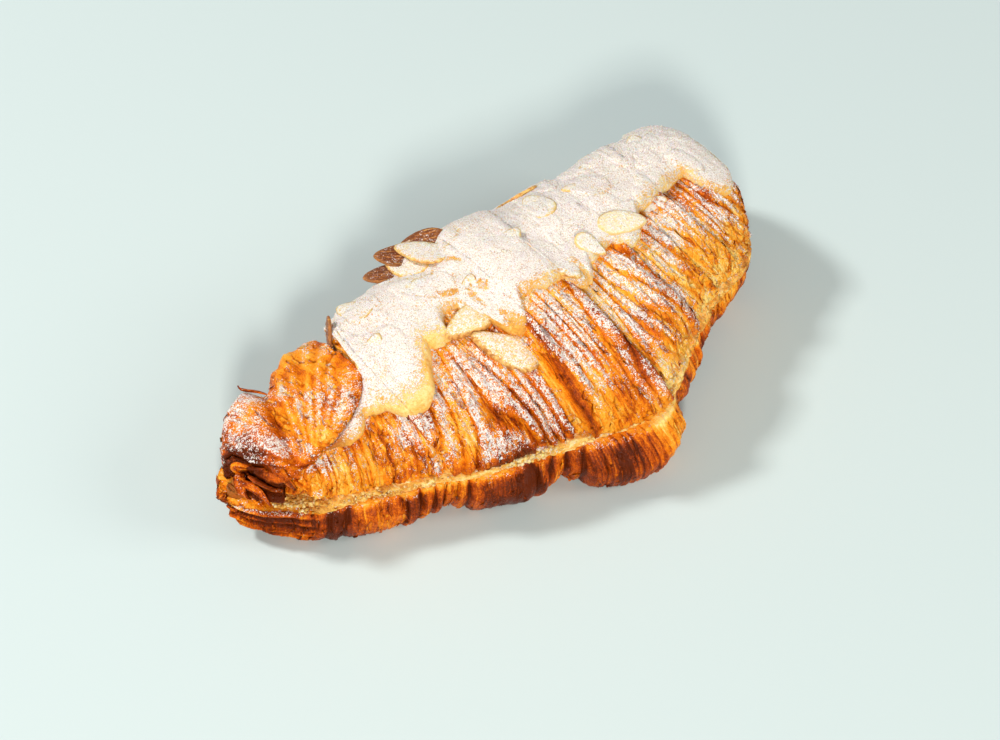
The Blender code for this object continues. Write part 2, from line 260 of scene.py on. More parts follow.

# %% [markdown]
# ## How the layers show
#
# Where the rolled strip ends, each tier stands out as a step, and its edge curls over a little. On
# a tier, the dough was stretched and tore into ridges: fingers a few millimetres wide, with hair
# lines between them. All of it is worked out as one relief: how far each point moves outwards, how
# far it is pushed along to make an edge overhang, and how proud it is, which later decides how dark
# it baked, together with painted shade in the grooves and folds. A displacement shader could not
# overhang and would be lost on export.

# %% Tiers
# Place at the split, way it faces, lean to the left by the crown, height, run back, and how gently
# it rises
TIERS = (
    (-0.040, -1, 0.008, 0.0018, 0.026, 1),
    (-0.003, -1, 0.006, 0.0032, 0.032, 3),
    (0.025, 1, 0.013, 0.0022, 0.028, 1),
    (0.050, 1, 0.014, 0.0018, 0.020, 1),
    (0.064, 1, 0.015, 0.0012, 0.014, 1),
    (0.076, 1, 0.016, 0.0016, 0.014, 1),
)
STEP, TIER_RISE, TIER_HANG = 0.0010, 1.2, 0.75
LIP_WIDE, FOOT_WIDE, FOOT_OUT = 0.0011, 0.0014, 0.0008
FULL_LIP, FULL_FOOT = 0.003, 0.002  # heights of a tier from which its lip and foot show fully
FLAP_FOOT, FLAP_REACH, FLAP_START, FLAP_SPAN = -0.084, 0.034, 0.12, 0.36
FLAP_HEIGHT, FLAP_LENGTH = 0.0026, 0.026


def over_top(turn):
    """0 at the split and 1 at the crown."""
    return np.sin(math.pi * np.clip(turn, 0, 1))


def flap_edge(turn):
    """Where along the croissant the edge of the flap passes."""
    return FLAP_FOOT + FLAP_REACH * ramp_up(turn, FLAP_START, FLAP_SPAN)


def one_tier(inward, height, length, step):
    """Relief, lip and foot of a tier. inward is the way in from its edge."""
    relief = height * smooth_step(inward / step) * (1 - smooth_step(inward / length))
    return relief, near(inward, step, LIP_WIDE), near(inward, -FOOT_OUT, FOOT_WIDE)


def tiers(lay, turn, step=STEP, wander=0.0010):
    """All tiers: relief, push along the length, lips and feet."""
    edges = [(flap_edge(turn), 1, FLAP_HEIGHT, FLAP_LENGTH, 1)]
    edges += [(place - lean * over_top(turn), facing, height, length, gentle)
              for place, facing, lean, height, length, gentle in TIERS]
    relief, push, lip, foot = 0 * lay, 0 * lay, 0 * lay, 0 * lay
    for number, (edge, facing, height, length, gentle) in enumerate(edges):
        edge = edge + wander * fractal(turn * 9, number * 7.3, 5, 3)
        here, here_lip, here_foot = one_tier(
            (edge - lay) * facing, height * TIER_RISE, length, step * gentle)
        relief += here
        push += facing * TIER_HANG * height * here_lip / gentle
        lip += here_lip * height / FULL_LIP
        foot += here_foot * height / FULL_FOOT
    return relief, push, np.clip(lip, 0, 1), np.clip(foot, 0, 1)


# %% Fingers and hair lines
# Each tier tore in its own way: place along, pitch of its fingers, their height
FINGER_TABLE = (
    (-0.110, 0.0036, 0.0010),
    (-0.080, 0.0025, 0.0006),
    (-0.066, 0.0029, 0.0008),
    (-0.056, 0.0040, 0.0014),
    (-0.046, 0.0048, 0.0018),
    (-0.036, 0.0052, 0.0019),
    (-0.006, 0.0050, 0.0018),
    (-0.002, 0.0033, 0.0012),
    (0.024, 0.0036, 0.0011),
    (0.030, 0.0046, 0.0015),
    (0.055, 0.0042, 0.0014),
    (0.110, 0.0032, 0.0010),
)


def finger_count(path):
    """How many fingers lie between the left end and each place, and how high they are there."""
    place, pitch, height = np.array(FINGER_TABLE).T
    fine = np.linspace(place[0], place[-1], 800)
    count = np.cumsum((fine[1] - fine[0]) / np.interp(fine, place, pitch))
    return np.interp(path, fine, count), np.interp(path, place, height)


def ridges(phase, turn, seed):
    """Shingled ridges from 0 to 1 that run round the croissant, how far each fades in, and a random
    tone for each. phase counts them."""
    phase = (phase + 1.3 * noise(phase / 2.9, turn * 1.6, seed)
             + 0.50 * noise(phase / 1.2, turn * 4.3, seed + 5))
    share = (phase - np.floor(phase)) ** 0.8
    ridge = 1 - np.abs(2 * share - 1) ** 2.6
    tone = scatter(np.floor(phase), 0, seed + 2)
    fade = 0.5 + 0.5 * noise(np.floor(phase) * 1.7, turn * 6.5, seed + 1)
    return ridge, 0.10 + 0.90 * smooth_step(1.5 * fade - 0.08), tone


def hair_lines(path, turn, pitch, seed):
    """Sharp-edged thin layers, from 0 to 1, and a random tone for each."""
    phase = path / pitch + 1.3 * noise(path / (pitch * 3), turn * 2, seed)
    saw = phase - np.floor(phase)
    return saw * (1 - ramp_up(saw, 0.86, 0.14)), scatter(np.floor(phase), 0, seed)


LEAN_AT = (-0.105, -0.070, -0.045, -0.025, -0.008, 0.010, 0.030)
LEAN = (-0.005, -0.004, -0.001, 0.003, 0.007, 0.011, 0.016)


def lean_of(lay):
    """How far the layers lean to the left between the split and the crown."""
    return np.interp(lay, LEAN_AT, LEAN)

# %% [markdown]
# Two places don't follow the tiers. At the narrow end the outer turn of the roll ends in a lip, with
# a hollow under it, painted dark as shade. Right of that a flap of dough lies over the rest. It was
# pinched at the front, so folds fan out across it. Each is drawn as a line through a few places.

# %% The rolled end
# The lip of the outer turn at the left end: lay, and the share of the way over where it passes
LIP_LAY = (-0.1046, -0.0960, -0.0903, -0.0872, -0.0834, -0.0813, -0.0792, -0.0770)
LIP_TURN = (0.92, 0.84, 0.64, 0.40, 0.30, 0.246, 0.173, 0.0)
# Knobs where the outer turn is gathered: lay, turn, radius, height
KNOBS = (
    (-0.0800, 0.82, 0.0062, 0.0026),
    (-0.0735, 0.86, 0.0045, 0.0018),
    (-0.0600, 0.78, 0.0050, 0.0022),
    (-0.0555, 0.81, 0.0045, 0.0020),
    (0.0950, 0.30, 0.0060, 0.0012),
    (0.0880, 0.80, 0.0060, 0.0014),
)


def rolled_end(lay, turn):
    """Relief of the outer turn's lip and of the roll inside it, the push that makes the lip hang, a
    mask of what lies under it and one of the hollow; bake_of darkens both as painted shade."""
    edge = np.interp(lay, LIP_LAY, LIP_TURN)
    inward = turn - edge
    here = ramp_down(lay, -0.0770, 0.003)
    over = smooth_step(inward / 0.025)
    down = turn / np.maximum(edge, 0.05)
    hollow = hump((down - 0.36) / 0.30) * hump((lay + 0.0885) / 0.0075)
    lip = here * over * (1 - smooth_step(inward / 0.45)) * 0.0014
    roll = here * (1 - over) * (0.0026 * hump((down - 0.76) / 0.22) - 0.0036 * hollow - 0.0010)
    hang, under = here * near(inward, 0.018, 0.030), here * (1 - over)
    return lip + roll, hang, under, here * hollow * (1 - over)


# %% Creases of the flap
# The deep fold that parts the flap in two: share of the way over, and where it passes
FOLD_TURN = (0.17, 0.21, 0.29, 0.37, 0.50, 0.67, 0.79, 0.90)
FOLD_LAY = (-0.0780, -0.0773, -0.0769, -0.0767, -0.0752, -0.0724, -0.0705, -0.0690)
FOLD_DEEP, FOLD_WIDE = 0.0026, 0.0021
# The others fan out from where the flap is pinched: angle in degrees, width in degrees, depth
CREASE_POINT = (-0.0770, 0.20)
HALF_ROUND = 0.075  # the way round the dome, in metres
CREASES = (
    (44, 2.4, 0.0009),
    (51, 2.6, 0.0016),
    (58, 2.0, 0.0010),
    (65, 3.0, 0.0018),
    (72, 2.2, 0.0010),
    (79, 3.0, 0.0016),
    (112, 4.0, 0.0007),
    (127, 4.0, 0.0009),
    (141, 4.0, 0.0006),
)


def flap_creases(lay, turn):
    """Relief of the folds, a mask of them that darkens them as painted shade, and a mask of what
    lies left of the deep one."""
    x, y = lay - CREASE_POINT[0], (turn - CREASE_POINT[1]) * HALF_ROUND
    angle = np.degrees(np.arctan2(y, x)) + 4 * fractal(lay / 0.018, turn * 3.5, 29)
    fade = smooth_step(np.hypot(x, y) / 0.010)
    cuts = [(depth, near(angle, middle, width)) for middle, width, depth in CREASES]
    left = np.interp(turn, FOLD_TURN, FOLD_LAY) + 0.0006 * fractal(turn * 12, 0, 33) - lay
    deep = bell(left / FOLD_WIDE) * ramp_up(turn, 0.18, 0.06)
    relief = sum(-depth * cut for depth, cut in cuts) * fade - FOLD_DEEP * deep
    relief += 0.0007 * bell((np.abs(left) - 2.4 * FOLD_WIDE) / FOLD_WIDE) * smooth_step(turn / 0.2)
    # the folds are darkened in colour as painted shade
    colour = np.clip(sum(cut for _, cut in cuts) * fade + deep, 0, 1)
    return relief, colour, smooth_step(0.5 + left / 0.003)

# %% [markdown]
# Now the layers are added up, from broad to fine. The flap lies over the ridges, so it calms them.
# Every crest and groove also leaves its mark in the masks: the oven browns what stands proud, and
# the grooves and folds are darkened as painted shade.

# %% The upper crust's relief
BOLD_TO, BOLD_FADE = 0.006, 0.007  # the ridges are boldest left of here
LEAF_PITCH, HAIR_PITCH = 0.0021, 0.0009
KNOB_ARC = 0.08  # the way round the dome at the knobs, in metres


def crust_relief(lay, turn):
    """Relief, push along and push down, and masks that colour the upper crust."""
    relief, push, lip, foot = tiers(lay, turn)
    path = lay + lean_of(lay) * over_top(turn) + 0.0016 * fractal(lay / 0.014, turn * 2.5, 7)
    bold = 1 - 0.6 * ramp_up(path, BOLD_TO, BOLD_FADE)
    count, height = finger_count(path)
    finger, fade, tone = ridges(count, turn, 11)
    leaf, leaf_tone = hair_lines(path, turn, LEAF_PITCH, 17)
    hair, hair_tone = hair_lines(path, turn, HAIR_PITCH, 23)
    calm = 1 - 0.85 * ramp_down(lay, flap_edge(turn), 0.002)  # the flap is smoother
    side = near(path, 0.0002, 0.0028)  # the bare side of the middle tier
    side *= 1 - ramp_up(turn, 0.27, 0.06)
    relief += ((0.15 + 1.25 * bold) * height * (finger - 0.6) * fade * (0.5 + tone) * calm
               * (1 - 0.85 * side))
    relief += (0.00085 - 0.00005 * bold) * (leaf - 0.4) * (0.4 + leaf_tone) * calm
    relief += 0.00030 * (hair - 0.4) * (0.3 + hair_tone) * (0.1 + 0.9 * calm)
    folded, crease, far = flap_creases(lay, turn)
    relief += (1 - calm) * (folded + 0.0004)
    relief += 0.0008 * fractal(lay / 0.016, turn * 4.5, 31)
    relief += 0.00030 * calm * fractal(lay / 0.004, turn * 18, 37)
    # where the outer layer is left
    flake = smooth_step((fractal(lay / 0.006, turn * 7, 43) - 0.08) / 0.07)
    relief += 0.00030 * flake
    for place, share, radius, rise in KNOBS:
        relief += rise * near(lay, place, radius) * bell((turn - share) * KNOB_ARC / radius)
    end, hang, under, hollow = rolled_end(lay, turn)
    relief += end - 0.0020 * ramp_down(lay, -0.084, 0.012)
    # both edges draw in at the split
    relief -= 0.0011 * (1 - smooth_step(turn / 0.035)) + 0.0011 * ramp_up(turn, 0.965, 0.035)
    shaded_groove = (1 - finger) ** 1.6 * fade * calm
    browning_and_shade = (0.12 * finger * fade + 0.24 * leaf + 0.17 * hair + 0.26 * tone) * calm
    # painted shade: the grooves between the fingers are darkened where shade falls in them
    browning_and_shade += (0.30 + 0.24 * bold) * shaded_groove  # the grooves are dark
    browning_and_shade += 0.16 * (flake - 0.5)
    # painted shade: the folds of the flap are darkened; left of the deep fold it is browner
    browning_and_shade += (1 - calm) * (0.24 + 0.42 * crease + 0.36 * far + 0.09 * (leaf - 0.4))
    browning_and_shade = browning_and_shade * (1 - side) + side * (0.42 + 0.40 * hair)
    crest = (finger - 0.5) * fade * (0.4 + tone) * calm - 0.9 * side
    crest += (1 - calm) * (0.15 * far - 0.7 * crease + 0.10)
    masks = {"browning_and_shade": np.clip(browning_and_shade, 0, 1), "crest": crest, "lip": np.clip(lip + hang, 0, 1),
             "foot": foot, "under": under, "hollow": hollow, "shaded_groove": shaded_groove}
    return relief, push, hang, masks

# %% [markdown]
# ## Turning a grid of points into a mesh
#
# One helper closes a grid of rings into a body, and stores on each of its points the numbers that
# the materials will read: how baked it is, how much sugar lies on it, and its lay and turn. Point
# attributes do here what painted maps would do, without any image.


# %% Closed bodies
def mesh_object(name, points, faces, values, material, slot):
    """One piece of the croissant. values are stored on its points, by name."""
    mesh = bpy.data.meshes.new(name)
    mesh.from_pydata(points.reshape(-1, 3).tolist(), [], faces)
    mesh.polygons.foreach_set("use_smooth", np.ones(len(faces), bool))
    for key, value in values.items():
        attribute = mesh.attributes.new(key, "FLOAT", "POINT")
        attribute.data.foreach_set("value", np.asarray(value, np.float32).ravel())
    mesh.materials.append(material)
    made = bpy.data.objects.new(name, mesh)
    bpy.context.scene.collection.objects.link(made)
    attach(made, "root")
    print(f"{name}: {len(mesh.vertices)} points, {len(faces)} faces")
    return made


def ring_faces(count, around):
    """Faces of a tube of closed rings, with a fan at each end whose tips are the last two points."""
    i, j = np.meshgrid(np.arange(count - 1), np.arange(around), indexing="ij")
    k = (j + 1) % around
    quads = np.stack([i * around + k, i * around + j, (i + 1) * around + j, (i + 1) * around + k], -1)
    j = np.arange(around)
    k = (j + 1) % around
    first, last = count * around, count * around + 1
    start = np.stack([0 * j + first, j, k], -1)
    a = (count - 1) * around
    end = np.stack([a + k, a + j, 0 * j + last], -1)
    return quads.reshape(-1, 4).tolist() + start.tolist() + end.tolist()


def with_tips(stack):
    """A stack of rings as one list, of points or of values, and after it the middles of both ends."""
    flat = stack.reshape(-1, *stack.shape[2:])
    return np.concatenate([flat, [stack[0].mean(0)], [stack[-1].mean(0)]])


def tube(rings, values):
    """Points, faces and values of the body that a stack of rings makes."""
    values = {key: with_tips(value) for key, value in values.items()}
    return with_tips(rings), ring_faces(*rings.shape[:2]), values


def across(start, end, count):
    """Points between two edges, strictly inside."""
    share = np.linspace(0, 1, count + 2)[1:-1]
    share = share[:, None] if start.ndim == 2 else share
    return start[:, None] * (1 - share) + end[:, None] * share


def joined(bodies):
    """Points, faces and values of several bodies as those of one. Each body is the same three."""
    points, faces, values = [], [], {}
    for own_points, own_faces, own_values in bodies:
        start = sum(len(part) for part in points)
        faces += [[start + k for k in face] for face in own_faces]
        points.append(own_points)
        for key, value in own_values.items():
            values.setdefault(key, []).append(value)
    return np.concatenate(points), faces, {key: np.concatenate(value) for key, value in values.items()}

# %% [markdown]
# ## Icing sugar, as a node group
#
# Icing sugar is a fine white powder that a sieve lets fall straight down. It lies thickest on top,
# catches on ridges and thins out to single specks on steep sides. Crust, cream and almonds all get
# the same powder, so it is a shader node group: it takes how much sugar there is, breaks that up
# into grains with two sizes of noise, and gives back a mask and a height.


# %% Node helpers
def feed(tree, socket, term):
    """Gives an input a fixed value, or links an output to it."""
    if isinstance(term, bpy.types.NodeSocket):
        tree.links.new(term, socket)
    else:
        socket.default_value = term


def node_in(tree, kind, **settings):
    """A new node. Each setting is for an input of that name, or else for a property."""
    node = tree.nodes.new(kind)
    for key, term in settings.items():
        if key in node.inputs:
            feed(tree, node.inputs[key], term)
        else:
            setattr(node, key, term)
    return node


def feed_all(tree, sockets, terms):
    """Feeds several inputs by their names."""
    for name, term in terms.items():
        feed(tree, sockets[name], term)


def new_group(name, takes, gives):
    """A node group with named inputs (with a starting value) and outputs."""
    tree = bpy.data.node_groups.new(name, "ShaderNodeTree")
    for title, kind, value in takes:
        socket = tree.interface.new_socket(title, in_out="INPUT", socket_type=kind)
        socket.default_value = value
    for title, kind in gives:
        tree.interface.new_socket(title, in_out="OUTPUT", socket_type=kind)
    return tree, tree.nodes.new("NodeGroupInput").outputs, tree.nodes.new("NodeGroupOutput").inputs


def group_in(tree, group, terms):
    """One use of a node group: its outputs."""
    node = tree.nodes.new("ShaderNodeGroup")
    node.node_tree = group
    feed_all(tree, node.inputs, terms)
    return node.outputs


def stored(tree, name):
    """A number that is stored on the points of the mesh."""
    return node_in(tree, "ShaderNodeAttribute", attribute_name=name).outputs["Fac"]


def own_place(tree):
    """Where a point lies on the croissant, in metres."""
    return tree.nodes.new("ShaderNodeTexCoord").outputs["Object"]


def noise_at(tree, place, **settings):
    return node_in(tree, "ShaderNodeTexNoise", Vector=place, **settings).outputs[0]


# %% Sums and colours in nodes
def maths(tree, operation, *terms):
    node = node_in(tree, "ShaderNodeMath", operation=operation)
    for socket, term in zip(node.inputs, terms):
        feed(tree, socket, term)
    return node.outputs[0]


def plus(tree, first, second):
    return maths(tree, "ADD", first, second)


def times(tree, first, second):
    return maths(tree, "MULTIPLY", first, second)


def stretched(tree, first, second):
    """A place for noise, from two pairs of an output and its scale."""
    x, y = [times(tree, *pair) for pair in (first, second)]
    return node_in(tree, "ShaderNodeCombineXYZ", X=x, Y=y).outputs[0]


def swing(tree, value, middle, share):
    """How far a value is from its middle, times a share."""
    return times(tree, maths(tree, "SUBTRACT", value, middle), share)


def remap(tree, value, low, high, to_low=0.0, to_high=1.0):
    node = tree.nodes.new("ShaderNodeMapRange")
    feed_all(tree, node.inputs, {"Value": value, "From Min": low, "From Max": high,
                                 "To Min": to_low, "To Max": to_high})
    return node.outputs[0]


def mixed(tree, share, a, b):
    """Colour a where share is 0, and b where it is 1."""
    node = node_in(tree, "ShaderNodeMix", data_type="RGBA", Factor=share)
    feed(tree, node.inputs[6], a)
    feed(tree, node.inputs[7], b)
    return node.outputs[2]


def colour_ramp(tree, level, stops):
    ramp = node_in(tree, "ShaderNodeValToRGB", Fac=level)
    while len(ramp.color_ramp.elements) < len(stops):
        ramp.color_ramp.elements.new(0.5)
    for element, (position, colour) in zip(ramp.color_ramp.elements, stops):
        element.position = position
        element.color = (*colour, 1)
    return ramp.outputs[0]


# %% The sugar group
GRAINS = 2400.0  # per metre
# the dark end of the ramp is painted shade between the grains; the light end is the sugar's own white
SUGAR_COLOURS_AND_GRAIN_SHADE = ((0.34, (0.52, 0.32, 0.23)), (0.43, (0.95, 0.83, 0.75)), (0.56, (1.0, 0.95, 0.90)))


def make_sugar_group():
    tree, takes, gives = new_group(
        "Icing sugar",
        [("Amount", "NodeSocketFloat", 0.5), ("Grains per metre", "NodeSocketFloat", GRAINS),
         ("Softness", "NodeSocketFloat", 0.10)],
        [("Colour", "NodeSocketColor"), ("Cover", "NodeSocketFloat"), ("Height", "NodeSocketFloat")])
    place = own_place(tree)
    fine = noise_at(tree, place, Scale=takes["Grains per metre"], Detail=1.0, Roughness=0.6)
    clump = noise_at(tree, place, Scale=850.0, Detail=2.0, Roughness=0.5)
    # its dark specks are painted shade between the grains
    shade = noise_at(tree, place, Scale=2900.0, Detail=2.0, Roughness=0.7)
    grain = plus(tree, times(tree, fine, 0.60), times(tree, clump, 0.40))
    need = remap(tree, takes["Amount"], 0.0, 1.0, 0.74, 0.26)
    cover = remap(tree, grain, need, plus(tree, need, takes["Softness"]))
    feed_all(tree, gives, {"Colour": colour_ramp(tree, shade, SUGAR_COLOURS_AND_GRAIN_SHADE), "Cover": cover,
                           "Height": times(tree, cover, fine)})
    return tree


sugar_group = make_sugar_group()

# %% [markdown]
# ## Baked crust, as a node group
#
# Crust has no single colour. Where the dough was thin and proud it is deep brown, on the flanks it
# is orange and golden, and in the stretched valleys it stays pale yellow. One number, *bake*,
# runs through these colours in a ramp. It comes from the shape, and the shader only adds streaks
# that follow the layers. Crusts easily come out too red or too grey, so each colour was set against
# the real one.


# %% The crust group
CRUST_COLOURS = (
    (0.0, (1.0, 0.70, 0.22)),
    (0.20, (0.98, 0.46, 0.045)),
    (0.42, (0.90, 0.265, 0.006)),
    (0.62, (0.60, 0.108, 0.002)),
    (0.80, (0.30, 0.040, 0.001)),
    (1.0, (0.10, 0.014, 0.001)),
)
STREAKS_ALONG, STREAKS_ROUND, CRUST_STIR = 1300.0, 26.0, 0.45


def make_crust_group():
    tree, takes, gives = new_group(
        "Baked crust",
        [("Bake", "NodeSocketFloat", 0.5), ("Streaks", "NodeSocketFloat", 0.25)],
        [("Colour", "NodeSocketColor"), ("Roughness", "NodeSocketFloat"),
         ("Height", "NodeSocketFloat")])
    layers = stretched(tree, (stored(tree, "lay"), STREAKS_ALONG),
                       (stored(tree, "turn"), STREAKS_ROUND))
    streak = noise_at(tree, layers, Scale=1.0, Detail=4.0, Roughness=0.65, Distortion=0.6)
    band = noise_at(tree, layers, Scale=0.30, Detail=2.0, Roughness=0.5)
    place = own_place(tree)
    blotch = noise_at(tree, place, Scale=210.0, Detail=4.0, Roughness=0.6)
    crinkle = noise_at(tree, place, Scale=620.0, Detail=3.0, Roughness=0.65, Distortion=1.2)
    speck = noise_at(tree, place, Scale=2300.0, Detail=1.0, Roughness=0.6)
    stir = swing(tree, streak, 0.5, takes["Streaks"])
    for source in (band, blotch, crinkle, speck):
        stir = plus(tree, stir, swing(tree, source, 0.5, CRUST_STIR))
    level = plus(tree, takes["Bake"], stir)
    fine = plus(tree, times(tree, crinkle, 1.6), times(tree, speck, 0.4))
    feed_all(tree, gives, {"Colour": colour_ramp(tree, level, CRUST_COLOURS),
                           "Roughness": remap(tree, level, 0.1, 0.9, 0.46, 0.30),
                           "Height": plus(tree, times(tree, streak, 0.6), fine)})
    return tree


crust_group = make_crust_group()
print("groups:", [tree.name for tree in bpy.data.node_groups])


# %% The crust material
SUGAR_ROUGHNESS, BUMP_DISTANCE = 0.85, 0.0005
DEPTHS = (1.0, 0.45, 0.15)  # red light goes deepest into dough


def sugared(tree, shader, colour, rough, height, bump, softness=0.07):
    """Lays sugar over a material's own colour, roughness and height."""
    sugar = group_in(tree, sugar_group, {
        "Amount": stored(tree, "sugar"), "Grains per metre": GRAINS, "Softness": softness})
    cover = sugar["Cover"]
    raised = plus(tree, height, times(tree, sugar["Height"], 1.6))
    normal = node_in(tree, "ShaderNodeBump", Strength=bump, Distance=BUMP_DISTANCE, Height=raised)
    feed_all(tree, shader.inputs, {
        "Base Color": mixed(tree, cover, colour, sugar["Colour"]),
        "Roughness": remap(tree, cover, 0.0, 1.0, rough, SUGAR_ROUGHNESS),
        "Normal": normal.outputs[0]})


def new_material(name, weight=0.12, scale=0.003, shine=0.3):
    material = bpy.data.materials.new(name)
    material.use_nodes = True
    shader = material.node_tree.nodes["Principled BSDF"]
    feed_all(material.node_tree, shader.inputs, {
        "Subsurface Weight": weight, "Subsurface Radius": DEPTHS, "Subsurface Scale": scale,
        "Specular IOR Level": shine})
    return material, material.node_tree, shader


def make_crust_material(name, streaks):
    material, tree, shader = new_material(name, shine=0.1)
    crust = group_in(tree, crust_group, {"Bake": stored(tree, "bake"), "Streaks": streaks})
    sugared(tree, shader, crust["Colour"], crust["Roughness"], crust["Height"], bump=0.55)
    return material


crust_material = make_crust_material("Upper crust", streaks=0.42)
foot_material = make_crust_material("Lower crust", streaks=0.45)

# %% [markdown]
# ## The upper half
#
# This is the piece that the eye reads first. It takes the tiers, fingers and hair lines from above
# on a grid of about ninety thousand faces. The same numbers give its colour: lips and proud
# fingers bake dark, the foot of a step stays pale, both ends are browner than the middle, and the
# grooves, folds and the hollow at the narrow end are darkened as painted shade.


# %% How dark it baked, its painted shade, and where the sugar fell
# Place along, share of the way over, half-length, half-width, how much
SUGAR_FALLS = (
    (0.002, 0.28, 0.007, 0.12, 0.22),
    (0.008, 0.09, 0.010, 0.08, -0.22),
    (-0.070, 0.45, 0.006, 0.12, 0.12),
    (-0.0125, 0.19, 0.005, 0.09, 0.45),
    (-0.022, 0.31, 0.009, 0.06, 0.30),
    (-0.045, 0.24, 0.010, 0.05, 0.22),
    (-0.073, 0.26, 0.004, 0.06, 0.42),
    (-0.058, 0.40, 0.003, 0.08, 0.20),
    (-0.0775, 0.38, 0.003, 0.08, 0.30),
    (-0.070, 0.70, 0.007, 0.12, 0.28),
    (-0.024, 0.03, 0.010, 0.04, -0.25),
    (-0.064, 0.44, 0.006, 0.08, 0.12),
    (-0.088, 0.55, 0.008, 0.20, 0.04),
    (0.032, 0.34, 0.009, 0.08, 0.14),
    (0.050, 0.34, 0.010, 0.08, 0.18),
    (0.066, 0.30, 0.008, 0.10, 0.12),
    (-0.030, 0.10, 0.006, 0.05, 0.15),
    (-0.070, 0.10, 0.008, 0.10, -0.22),
)


def sugar_on(lay, turn, masks, out):
    amount = 0.20 + 0.14 * ramp_up(turn, 0.06, 0.30) * ramp_down(turn, 1.0, 0.2)
    for place, share, half, width, much in SUGAR_FALLS:
        amount += much * near(lay, place, half) * near(turn, share, width)
    amount += 0.30 * fractal(lay / 0.007, turn * 11, 41) + 0.60 * masks["crest"]
    amount *= np.clip(out[..., 2] * 1.5 + 0.45, 0.1, 1)  # little stays on steep sides
    amount *= (1 - 0.8 * masks["under"]) * (1 - 0.6 * masks["shaded_groove"])
    return np.clip(amount, 0, 0.60)


def bake_of(lay, turn, masks):
    bake = 0.38 + 0.26 * fractal(lay / 0.012, turn * 5, 51) + 0.58 * (masks["browning_and_shade"] - 0.42)
    # low on the front of the middle tier, left of it, and further left
    bake += 0.18 * ramp_down(turn, 0.30, 0.12) * smooth_step(lay / 0.006) * (lay < 0.024)
    bake += 0.10 * ramp_down(turn, 0.28, 0.2) * near(lay, -0.014, 0.012)
    bake += 0.12 * near(lay, -0.058, 0.014) * (1 - ramp_up(turn, 0.25, 0.1))
    # lips bake dark and feet of steps stay pale; under the lip and in the hollow the colour is
    # darkened as painted shade
    bake += 0.30 * masks["lip"] - 0.26 * masks["foot"] + 0.14 * masks["under"] + 0.6 * masks["hollow"]
    # the two ends
    bake += 0.36 * ramp_down(lay, -0.078, 0.012) + 0.16 * ramp_up(lay, 0.078, 0.014)
    for place in (0.0295, 0.0545):  # the stretched bands between the tiers on the right
        bake -= 0.24 * bell((lay + 0.013 * over_top(turn) - place) / 0.0030)
    # beside the split
    bake -= 0.08 * (1 - smooth_step(turn / 0.05)) * (lay > -0.075)
    return bake + 0.44 * near(lay, -0.025, 0.014) * (1 - ramp_up(turn, 0.02, 0.09))


# %% Build the upper half
HANG = 0.0016  # how far the lip at the rolled end hangs down


def grid_of(columns, rows, first, last):
    """lay and turn for a grid of the crust, without its two tips."""
    return np.meshgrid(np.linspace(-PATH_HALF, PATH_HALF, columns + 2)[1:-1],
                       np.linspace(first, last, rows), indexing="ij")


def make_upper_half(columns=900, rows=98, flat=6):
    lay, turn = grid_of(columns, rows, 0, 1)
    points = section(lay, turn, True)
    floor = points[:, :1, 2]
    out, ahead = frame_of(points)
    relief, push, hang, masks = crust_relief(lay, turn)
    down = -np.cross(out, ahead)
    points = points + out * relief[..., None] + ahead * push[..., None]
    points += down * HANG * hang[..., None]
    ragged = 0.0012 * fractal(lay / 0.004, 0, 61) - 0.0003
    points[..., 2] = np.maximum(points[..., 2], floor + ragged)
    out, _ = frame_of(points)
    bake, sugar = bake_of(lay, turn, masks), sugar_on(lay, turn, masks, out)
    values = {"bake": bake, "sugar": sugar, "lay": lay, "turn": turn}
    values = {key: np.concatenate([value, across(value[:, -1], value[:, 0], flat)], 1)
              for key, value in values.items()}
    values["sugar"][:, rows:] = 0
    rings = np.concatenate([points, across(points[:, -1], points[:, 0], flat)], 1)
    made = mesh_object("crust_upper_half", *tube(rings, values), crust_material, "upper_half")
    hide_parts("upper_half")
    return lay, turn, points, out, sugar, bake


upper = make_upper_half()

# %% [markdown]
# ## The lower half
#
# Below the split the croissant sat in its own butter and baked hardest. Its side is pleated from
# top to bottom, it bulges out in lobes, most of all under the middle tier, and at the narrow end
# the layers lie flat on each other like the pages of a book. Its underside is cut flat, because a
# croissant rests on it.

# %% Lobes and pleats
LEDGE, WALL = 0.0012, 0.22
# Middle, half-length, how far out
LOBES = (
    (-0.062, 0.020, 0.0030),
    (-0.025, 0.016, 0.0040),
    (0.011, 0.019, 0.0095),
    (0.043, 0.010, 0.0022),
    (0.064, 0.009, 0.0005),
)
SHOULDER, RIM_SHARE = 0.12, 0.35


